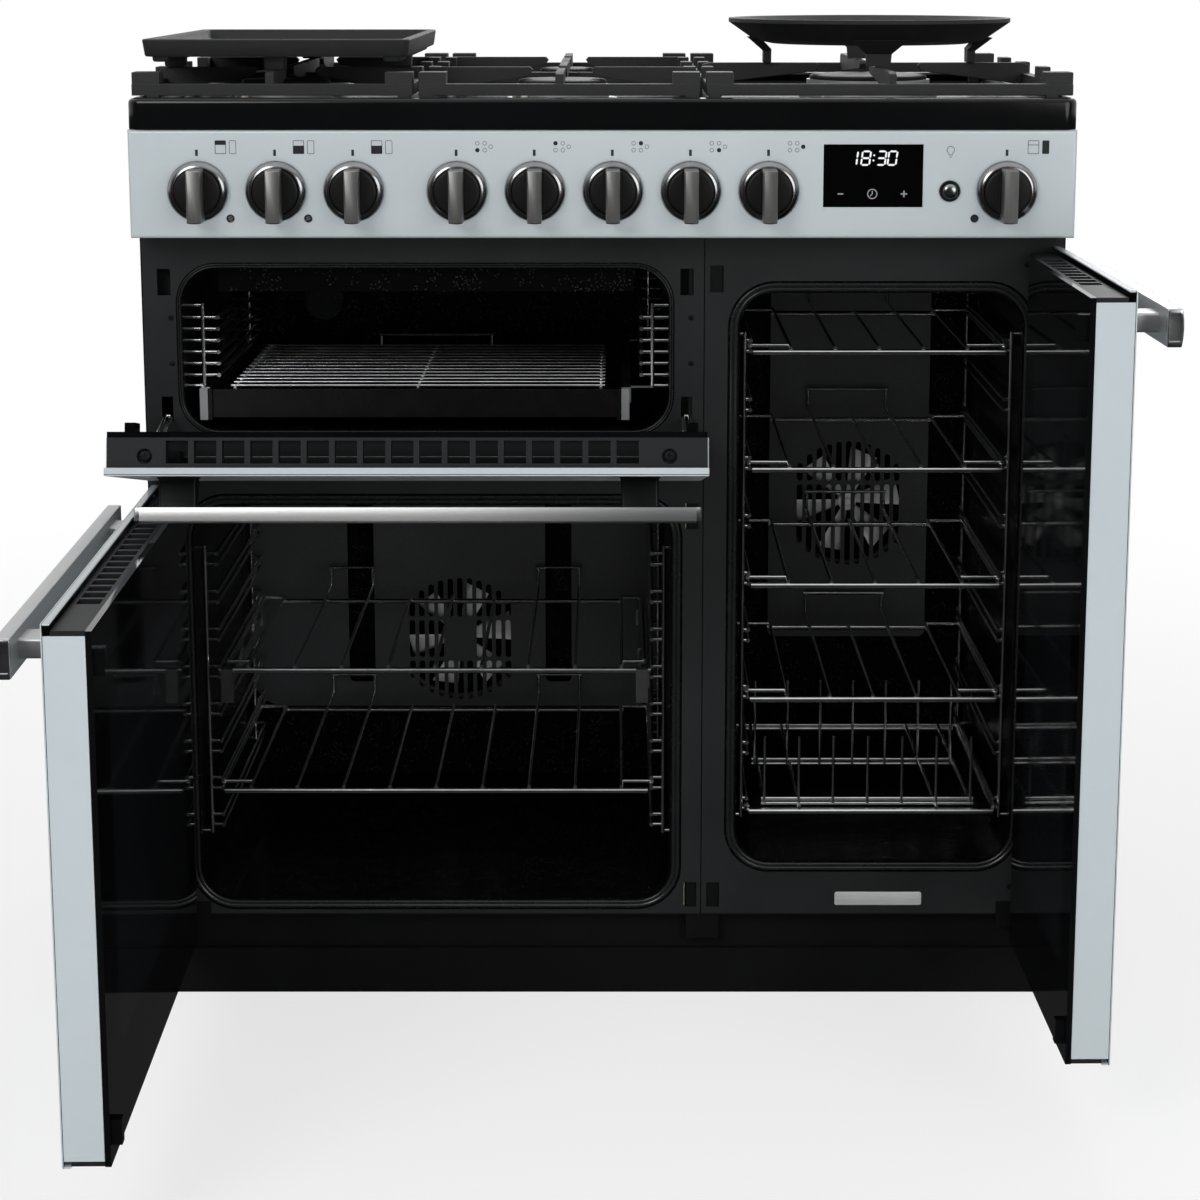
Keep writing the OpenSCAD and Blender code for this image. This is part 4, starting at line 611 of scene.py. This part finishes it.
gear = Finish("taps_and_pipes")
tarnish = mottle(gear, 0.03, detail=4)
brass = blend(gear, tarnish, ink("8a6c35"), ink("c9a765"))
depth_of = gear.node("SeparateXYZ", (), {0: gear.node("TexCoord", out="Object")}, 1)
is_pipe = depth_of > front_y + 0.0335
coat(gear, blend(gear, is_pipe, ink("8b8f91"), brass), 0.3 + tarnish * 0.18, tarnish, 0.00005, 0.9)
dress(gear, "control_gear")


# ---- Fascia ----
# A folded steel fascia in pale grey-blue gloss paint, with softly rounded bends and a hole for each control.
# The paint has a faint orange peel. Marks are screen-printed in dark ink.

def gloss_paint(finish, painted_shade=0):
    """The paint, turned near-black where the mask given is 1, as painted shade."""
    peel = mottle(finish, 0.0024, detail=2)
    cloud = mottle(finish, 0.16, detail=3)
    colour = blend(finish, cloud, ink("adb6ba"), ink("b6bec2"))
    return coat(finish, blend(finish, painted_shade, colour, ink("0b0b0c")), 0.26 + cloud * 0.06 + peel * 0.03, peel,
                0.00007, Coat_Weight=0.25, Coat_Roughness=0.12)


paint = gloss_paint(Finish("fascia_paint"))
knob_xs = {"knob_oven_1": -384, "knob_oven_2": -310, "knob_oven_3": -236, "knob_oven_4": 384,
           "knob_burner_1": -138, "knob_burner_2": -64, "knob_burner_3": 10, "knob_burner_4": 84,
           "knob_burner_5": 158}
knob_z = 827
neon_xs, neon_z = (-354, -280, 354), 801
button_x = 330
clock_x, clock_z = 257, 841.5

fold = bmesh.new()
bmesh.ops.create_cube(fold, size=1)
for vert in fold.verts:
    vert.co = at(450 * (1 if vert.co.x > 0 else -1), 42 if vert.co.y > 0 else 0, 885 if vert.co.z > 0 else 782)
front_edges = [e for e in fold.edges if all(v.co.y < front_y + 0.001 for v in e.verts)]
bmesh.ops.bevel(fold, geom=front_edges, offset=0.0036, segments=5, affect="EDGES", profile=0.5)
rear = [f for f in fold.faces if all(v.co.y > front_y + 0.0415 for v in f.verts)]
bmesh.ops.delete(fold, geom=rear, context="FACES")
fascia = add_piece("fascia", fold, "carcass", paint)
sheet = fascia.modifiers.new("sheet", "SOLIDIFY")
sheet.thickness, sheet.offset = 0.0015, -1

punch = bmesh.new()
for x in knob_xs.values():
    turned(punch, ((5, -8), (5, 8)), lambda a, b, h: at(x + a, h, knob_z + b), 32)
for x in neon_xs:
    turned(punch, ((3.4, -8), (3.4, 8)), lambda a, b, h: at(x + a, h, neon_z + b), 32)
turned(punch, ((10.3, -8), (10.3, 8)), lambda a, b, h: at(button_x + a, h, knob_z + b), 32)
skin(punch, [[punch.verts.new(at(clock_x + i * 47.3, y, clock_z + j * 29.8)) for i, j in
              ((-1, -1), (1, -1), (1, 1), (-1, 1))] for y in (-8, 8)], True, True)
bmesh.ops.recalc_face_normals(punch, faces=punch.faces)
punch_mesh = bpy.data.meshes.new("punch")
punch.to_mesh(punch_mesh)
punch.free()
punch_tool = bpy.data.objects.new("punch", punch_mesh)
scene.collection.objects.link(punch_tool)
cut = fascia.modifiers.new("holes", "BOOLEAN")
cut.operation, cut.solver, cut.object = "DIFFERENCE", "EXACT", punch_tool
bpy.context.view_layer.update()
pierced = bpy.data.meshes.new_from_object(fascia.evaluated_get(bpy.context.evaluated_depsgraph_get()))
fascia.modifiers.clear()
fascia.data = pierced
bpy.data.objects.remove(punch_tool)
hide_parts("control_panel")


def printed(name, dark, pale):
    finish = Finish(name)
    worn = mottle(finish, 0.0016, detail=3)
    return coat(finish, blend(finish, worn, ink(dark), ink(pale)), 0.4 + worn * 0.2, worn, 0.00002)


def flat_shape(shape, points, near=-0.06, far=0.02):
    """A thin printed shape on the fascia, from its outline in x and z."""
    skin(shape, [[shape.verts.new(at(x, y, z)) for x, z in points] for y in (far, near)], False, True)


def oval(x, z, r, count=20):
    return [(x + r * cos(2 * pi * i / count), z + r * sin(2 * pi * i / count)) for i in range(count)]


def band_shape(shape, outer, inner, near=-0.06):
    """A printed line between two outlines of equal count."""
    skin(shape, [[shape.verts.new(at(x, near, z)) for x, z in line] for line in (outer, inner)])


def soft_box(x, z, w, h, r):
    """A rectangle with rounded corners round its middle."""
    return round_box(x - w / 2, x + w / 2, z - h / 2, z + h / 2, r)


marks = bmesh.new()
faint = bmesh.new()
for name, x in knob_xs.items():
    flat_shape(marks, soft_box(x - 0.6, 863.3, 2.6, 6, 0.4))
for name, low, high in (("knob_oven_1", 0.66, 1), ("knob_oven_2", 0, 0.62), ("knob_oven_3", 0, 0.62),
                        ("knob_oven_4", None, None)):
    x = knob_xs[name] + (24.3 if low is None else 22.2)
    z = 868.6
    band_shape(marks, soft_box(x, z, 10.6, 12.8, 0.9), soft_box(x, z, 9.5, 11.7, 0.6))
    if low is None:
        flat_shape(marks, soft_box(x, z + 2.1, 10.2, 0.6, 0.1))
        flat_shape(marks, soft_box(x + 11.6, z, 6.7, 12.8, 0.8))
    else:
        flat_shape(marks, soft_box(x, z - 6.4 + 12.8 * (low + high) / 2, 10.2, 12.8 * (high - low) - 0.2, 0.3))
        band_shape(marks, soft_box(x + 11.5, z, 6.7, 12.8, 1.2), soft_box(x + 11.5, z, 5.7, 11.8, 0.8))
spots = ((19.6, 865.8), (19.6, 872.3), (26.5, 872.3), (26.5, 865.8), (32.2, 869))
for number in range(5):
    x = knob_xs["knob_burner_%d" % (number + 1)]
    for index, (dx, z) in enumerate(spots):
        if index == number:
            flat_shape(marks, oval(x + dx, z, 2.1))
        else:
            band_shape(faint, oval(x + dx, z, 2.1), oval(x + dx, z, 1.45))
bulb = []
for radius, neck, foot in ((3.9, 2.0, 861.2), (3.0, 1.3, 861.8)):
    bulb.append([(button_x + neck, foot)] + [(button_x + radius * sin(radians(a)), 866 - radius * cos(radians(a)))
                                             for a in range(35, 326, 15)] + [(button_x - neck, foot)])
band_shape(faint, *bulb)
flat_shape(faint, soft_box(button_x, 860.2, 3.2, 0.6, 0.2))
flat_shape(faint, soft_box(button_x, 859.0, 2.2, 0.6, 0.2))
add_piece("printed_marks", marks, "carcass", printed("printed_ink", "101113", "1d2023"))
add_piece("printed_outlines", faint, "carcass", printed("pale_ink", "5f666c", "737a80"))

ring_black = powder_coat("bezel_black", "090a0a", "151617", 0.24)
bezels = bmesh.new()
turned(bezels, ((7.62, 1), (7.62, -1.9), (7.9, -2.4), (8.6, -2.7), (9.4, -2.5), (9.9, -1.8), (10.1, -0.6), (10.1, 1)),
       lambda a, b, h: at(button_x + a, h, knob_z + b), 48, False)
for x in neon_xs:
    turned(bezels, ((2.5, -0.6), (2.6, -1.2), (3.1, -1.4), (3.7, -1.1), (3.9, -0.5), (3.9, -0.02)),
           lambda a, b, h: at(x + a, h, neon_z + b), 32, False)
add_piece("lamp_bezels", bezels, "carcass", ring_black)


# ---- Clock ----
# A black glass set in the fascia, with lit figures behind it: slanted seven-stroke numerals above three touch
# marks, a minus, a clock face and a plus.

glass = Finish("clock_glass")
smear = mottle(glass, 0.02, (1, 1, 0.4), 4)
coat(glass, blend(glass, smear, ink("020202"), ink("050506")), 0.05 + smear * 0.1, smear, 0.00002, 0.0,
     Specular_IOR_Level=0.22)
dress(glass, "clock_display")


def glow(name, colour, strength):
    finish = Finish(name)
    grain = mottle(finish, 0.0008, detail=2)
    return finish.end(finish.node("BsdfPrincipled", (), {
        "Base Color": blend(finish, grain, ink("2c2d2e"), ink("3a3b3c")), "Roughness": 0.3 + grain * 0.1,
        "Emission Color": blend(finish, grain * 0.2, ink(colour), ink("ffffff")), "Emission Strength": strength}))


figures = bmesh.new()
slant, figure_z, mark_z = 0.13, 858.3, 824.4


def behind(shape, points):
    """A lit shape just under the glass."""
    flat_shape(shape, points, -0.66, -0.52)


def stroke(shape, x, z, half_w, half_h, upright):
    """One stroke with pointed ends, leaning over as the figures do."""
    tip = min(half_w, half_h)
    if upright:
        points = [(-half_w, -half_h + tip), (0, -half_h), (half_w, -half_h + tip), (half_w, half_h - tip), (0, half_h),
                  (-half_w, half_h - tip)]
    else:
        points = [(-half_w + tip, -half_h), (half_w - tip, -half_h), (half_w, 0), (half_w - tip, half_h),
                  (-half_w + tip, half_h), (-half_w, 0)]
    behind(shape, [(x + a + (z + b - figure_z) * slant, z + b) for a, b in points])


strokes = {"1": "bc", "8": "abcdefg", "3": "abgcd", "0": "abcdef"}
for digit, x in (("1", 237.6), ("8", 249.8), ("3", 264.5), ("0", 274.9)):
    for name, dx, dz, upright in (("a", 0, 6.4, 0), ("b", 3.9, 3.3, 1), ("c", 3.9, -3.3, 1), ("d", 0, -6.4, 0),
                                  ("e", -3.9, -3.3, 1), ("f", -3.9, 3.3, 1), ("g", 0, 0, 0)):
        if name in strokes[digit]:
            stroke(figures, x + dx, figure_z + dz, 0.85 if upright else 3.3, 3.0 if upright else 0.85, upright)
for dz in (2.6, -2.2):
    behind(figures, oval(257.2 + dz * slant, figure_z + dz, 0.9, 14))
add_piece("clock_figures", figures, "carcass", glow("lit_figures", "f4f6f8", 0.95))

icons = bmesh.new()
for x, dz, w, h in ((226.1, 0, 5.4, 1.3), (286.4, 0, 6.2, 1.3), (286.4, 1.9, 1.3, 2.5), (286.4, -1.9, 1.3, 2.5)):
    behind(icons, soft_box(x, mark_z + dz, w, h, 0.3))
band_shape(icons, oval(256.3, mark_z, 4.9, 32), oval(256.3, mark_z, 3.9, 32), -0.64)
behind(icons, soft_box(256.3, 825.7, 0.9, 3.2, 0.2))
behind(icons, [(256.0, 824.6), (253.9, 822.6), (254.5, 822.0), (256.8, 824.1)])
add_piece("clock_marks", icons, "carcass", glow("dim_marks", "b9bcbf", 0.42))


# ---- Knobs and light button ----
# Each knob has a polished metal skirt with a coned rim, a black moulded face, and a brushed metal grip bar that
# runs from near its top past its lower edge. The light button is a small polished dome.

def brushed(name, along, dark="8f9091", pale="b9babb", rough=0.27):
    finish = Finish(name)
    stretch = tuple(0.03 if i == along else 1 for i in range(3))
    hair = mottle(finish, 0.0007, stretch, 4, 0.6)
    wide = mottle(finish, 0.006, stretch, 3)
    smudge = mottle(finish, 0.05, detail=3)
    colour = blend(finish, hair * 0.5 + wide * 0.35, ink(dark), ink(pale))
    return coat(finish, colour, rough + hair * 0.14 + smudge * 0.08, hair, 0.00006, 0.92)


skirt_chrome = chrome("skirt_chrome", "6d6e6f", "a9aaab", 0.12)
face_black = powder_coat("knob_face", "0e0e0f", "1d1c1b", 0.42)
grip_steel = brushed("grip_steel", 2, "6f6f6f", "9d9c9a", 0.3)
for name, x in knob_xs.items():
    def put(a, b, h):
        return at(x + a, -h, knob_z + b)

    skirt = bmesh.new()
    turned(skirt, ((27.4, 0.8), (28.5, 0.85), (29, 1.4), (29, 3), (28.7, 4.4), (28, 5.6), (26.8, 6.8), (25.2, 7.8),
                   (23.9, 8.4), (22.9, 8.6), (22.4, 8.3), (22.2, 7.4), (22.2, 5.5)), put, 72)
    piece = add_piece(name + "_skirt", skirt, name, skirt_chrome)
    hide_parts(name)
    face = bmesh.new()
    turned(face, ((21.9, 5.4), (21.9, 9.2), (21.6, 10.2), (20.8, 10.9), (19.6, 11.2), (9, 11.5), (0, 11.5)), put, 64)
    add_piece(name + "_face", face, name, face_black)
    for side, rib in ((-1, "_rib_left"), (1, "_rib_right")):
        groove = bmesh.new()
        skin(groove, [[groove.verts.new(put(side * a, b, h)) for a, b in
                       ((7.6, -19.5), (9.6, -18.6), (9.6, 18.6), (7.6, 19.5))] for h in (11.2, 12.3, 12.6)],
             False, True)
        add_piece(name + rib, groove, name, face_black)
    grip = bmesh.new()
    half = 6.75
    rim = [(half - 1.2 + 1.2 * sin(radians(a)), 21 + 1.2 * cos(radians(a))) for a in (90, 60, 30, 0)]
    rim += [(-a, b) for a, b in reversed(rim)]
    rim += [(28.7 * sin(radians(a)), -28.7 * cos(radians(a))) for a in (-13.6, -9, -4.5, 0, 4.5, 9, 13.6)]
    levels = [(1, 6.5), (1, 29.6), (0.985, 30.8), (0.95, 31.6), (0.9, 32)]
    skin(grip, [[grip.verts.new(put(a * s, (b + 4) * (0.55 + 0.45 * s) - 4, h)) for a, b in rim] for s, h in levels],
         True, True)
    add_piece(name + "_grip", grip, name, grip_steel)

dome = bmesh.new()
turned(dome, ((7.4, 4.4), (7.4, -2.4), (7.1, -3.3), (6.4, -4.2), (5.2, -4.9), (3.6, -5.4), (1.8, -5.65), (0, -5.7)),
       lambda a, b, h: at(button_x + a, h, knob_z + b), 48)
button = add_piece("light_button_dome", dome, "light_button", skirt_chrome)
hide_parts("light_button")


# ---- Door skins ----
# Folded steel trays in the same gloss paint, hung on pins at the frame's side, with rounded folds.
# Their inner face behind the trims is painted near-black, as painted shade for the dark inside the door seen through
# the vent slots.

pin_x, pin_y, grill_pin_z = 425, 20, 563


def left_leaf(u, v, z):
    """A point of the open left door: u from its pins, v through its thickness."""
    a = radians(89)
    return at(-pin_x + u * cos(a) + v * sin(a), pin_y - u * sin(a) + v * cos(a), z)


def right_leaf(u, v, z):
    a = radians(91)
    return at(pin_x - u * cos(a) - v * sin(a), pin_y - u * sin(a) + v * cos(a), z)


def grill_leaf(x, v, u):
    a = radians(77.5)
    return at(x, pin_y + v * cos(a) - u * sin(a), grill_pin_z + v * sin(a) + u * cos(a))


def measured(finish, leaf, *way):
    """How far in metres a place on the surface lies from a door's pins, in one direction of the door."""
    start, end = leaf(0, 0, 0), leaf(*way)
    place = finish.node("TexCoord", out="Object")
    along = finish.node("VectorMath", {"operation": "DOT_PRODUCT"}, {0: place, 1: tuple(end - start)}, "Value")
    return along - (end - start).dot(start)


def skin_paint(name, leaf):
    """The doors' paint, near-black on the inner face of a skin and of its lower return, as painted shade for the dark
    inside the door.
    """
    finish = Finish(name)
    painted_shade = 0
    for way, level in (((0, 1000, 0), -0.0185), ((0, 0, 1000), -0.0195)):
        inside = measured(finish, leaf, *way) - level
        painted_shade = painted_shade + (inside > -0.0003) * (inside < 0.0003)
    return gloss_paint(finish, painted_shade)


for name, leaf in (("left_door", left_leaf), ("right_door", right_leaf), ("grill_door", grill_leaf)):
    softened(name + "_skin", 0.7, skin_paint(name + "_paint", leaf), name)


# ---- Door liners and glass ----
# Black moulded trims with vent slots close each door's top edge, and a sheet of dark heat-reflecting glass
# covers its inner face, printed black round a clear middle.

def inner_glass(name, leaf, limits):
    """Dark glass on a liner's inner face, black plastic elsewhere; limits are the clear middle's."""
    finish = Finish(name)
    u, v, z = (measured(finish, leaf, *way) for way in ((1000, 0, 0), (0, 1000, 0), (0, 0, 1000)))
    pane = v > 0.0148
    inside = (u > limits[0]) * (u < limits[1]) * (z > limits[2]) * (z < limits[3])
    grain = mottle(finish, 0.0012, detail=3)
    smear = mottle(finish, 0.07, (1, 1, 0.35), 4)
    black = blend(finish, smear, ink("050506"), ink("0a0b0c"))
    clear = blend(finish, smear, ink("101113"), ink("181a1c"))
    relief = finish.node("Bump", (), {"Height": grain, "Distance": 0.00012, "Strength": 0.6})
    plastic = finish.node("BsdfPrincipled", (), {
        "Base Color": blend(finish, grain, ink("161718"), ink("222426")), "Roughness": 0.46 + grain * 0.12,
        "Specular IOR Level": 0.22, "Normal": relief})
    mirror = finish.node("BsdfPrincipled", (), {
        "Base Color": blend(finish, inside, black, clear), "Roughness": 0.03 + smear * 0.05,
        "Metallic": inside * 0.12})
    return finish.end(finish.node("MixShader", (), {0: pane, 1: plastic, 2: mirror}))


dress(inner_glass("left_door_glass", left_leaf, (0.075, 0.46, 0.16, 0.45)), "left_door_liner")
dress(inner_glass("right_door_glass", right_leaf, (0.07, 0.285, 0.16, 0.68)), "right_door_liner")
dress(inner_glass("grill_door_glass", grill_leaf, (-0.38, 0.03, 0.06, 0.17)), "grill_door_liner")

trim_screws = bmesh.new()
for x in (-410.5, 61):
    screw(trim_screws, lambda a, b, h: grill_leaf(x + a, -2 + b, 199 + h), 5, 1.8)
add_piece("grill_trim_screws", trim_screws, "grill_door", case_black)


# ---- Handles ----
# Brushed stainless bars with a bowed face, flat sides and polished end caps, each on two cast brackets that are
# screwed through the door's skin.

def bar_profile(shrink=0.0):
    """Outline of a handle bar across its length: distance out from the finger gap, and height."""
    points, bow = [], 90
    for k in range(13):
        b = -15.4 + 30.8 * k / 12
        points.append((14 - (bow - sqrt(bow * bow - b * b)), b))
    points += [(12.2, 16.2), (11.2, 16.5), (1.2, 16.5), (0, 16.1), (-0.4, 15.2), (-0.4, -15.2), (0, -16.1),
               (1.2, -16.5), (11.2, -16.5), (12.2, -16.2)]
    return [(5.5 + (a - 5.5) * (1 - shrink), b * (1 - shrink)) for a, b in points]


bar_v = 48  # from the middle of a door's thickness out to its bar


def handle(leaf, x0, x1, brackets, z, body, steel, foot_steel):
    """A bar from x0 to x1 along a door, with its end caps and brackets."""
    node = body + "_handle"
    bar = bmesh.new()
    skin(bar, [[bar.verts.new(leaf(u, -bar_v - a, z + b)) for a, b in bar_profile()] for u in (x0 + 5, x1 - 5)],
         True, True)
    piece = add_piece(node + "_bar", bar, body, steel)
    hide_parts(node)
    caps = bmesh.new()
    for end, inward in ((x0, 1), (x1, -1)):
        rows = ((5.2, 0.03), (5.0, 0), (1.6, 0), (0.6, 0.04), (0.1, 0.11), (0, 0.24), (0.1, 0.3), (0.9, 0.34),
                (1.0, 0.6))
        skin(caps, [[caps.verts.new(leaf(end + inward * d, -bar_v - a, z + b)) for a, b in bar_profile(shrink)]
                    for d, shrink in rows], True, True)
    add_piece(node + "_caps", caps, body, cap_steel)
    feet = bmesh.new()
    for centre in brackets:
        rings = []
        for v, grow in ((-20.2, 1.6), (-21.2, 1.6), (-22.4, 0.5), (-25, 0), (-44, 0), (-48.6, 0.2)):
            w, h = 16.9 + grow, 8.4 + grow
            rings.append([feet.verts.new(leaf(centre + x, v, z + dz)) for x, dz in round_box(-w, w, -h, h, 2.5)])
        skin(feet, rings, True, True)
    add_piece(node + "_brackets", feet, body, foot_steel)


cap_steel = chrome("end_cap_steel", "9fa1a3", "d4d5d6", 0.16)
side_steel = brushed("side_bar_steel", 1, "a2a3a4", "cfd0d0", 0.34)
# The grill bar's colour runs from near-white at its left end to mid grey at its right. This is a painted highlight,
# not a change in the steel.
long_steel = Finish("grill_bar_steel")
hair = mottle(long_steel, 0.0007, (0.03, 1, 1), 4)
side_of = long_steel.node("SeparateXYZ", (), {0: long_steel.node("TexCoord", out="Object")}, 0)
painted_highlight_ramp = long_steel.ease(side_of, -0.2, 0.08)
coat(long_steel, blend(long_steel, painted_highlight_ramp * 0.8 + hair * 0.2, ink("f4f4f3"), ink("77787a")), 0.3 + hair * 0.1, hair,
     0.00004, 0.85)
# The grill handle's brackets get a near-black steel. This is painted shade and a painted dark reflection, not a darker
# metal.
painted_shade_steel = brushed("grill_bracket_steel", 0, "1a1b1b", "2c2d2e", 0.26)
handle(left_leaf, -6, 506.5, (44, 456.5), 501, "left_door", side_steel, side_steel)
handle(right_leaf, 0, 315.5, (50, 265.5), 737, "right_door", side_steel, side_steel)
handle(grill_leaf, -422, 90.5, (-384, 34.5), 174, "grill_door", long_steel, painted_shade_steel)


# ---- Stays and hinge brackets ----
# Bright wire stays hold the open grill door, and black pressed brackets carry the hinge pins.

dress(wire_chrome, "grill_door_stays")
dress(case_black, "hinge_brackets")

low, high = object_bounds()
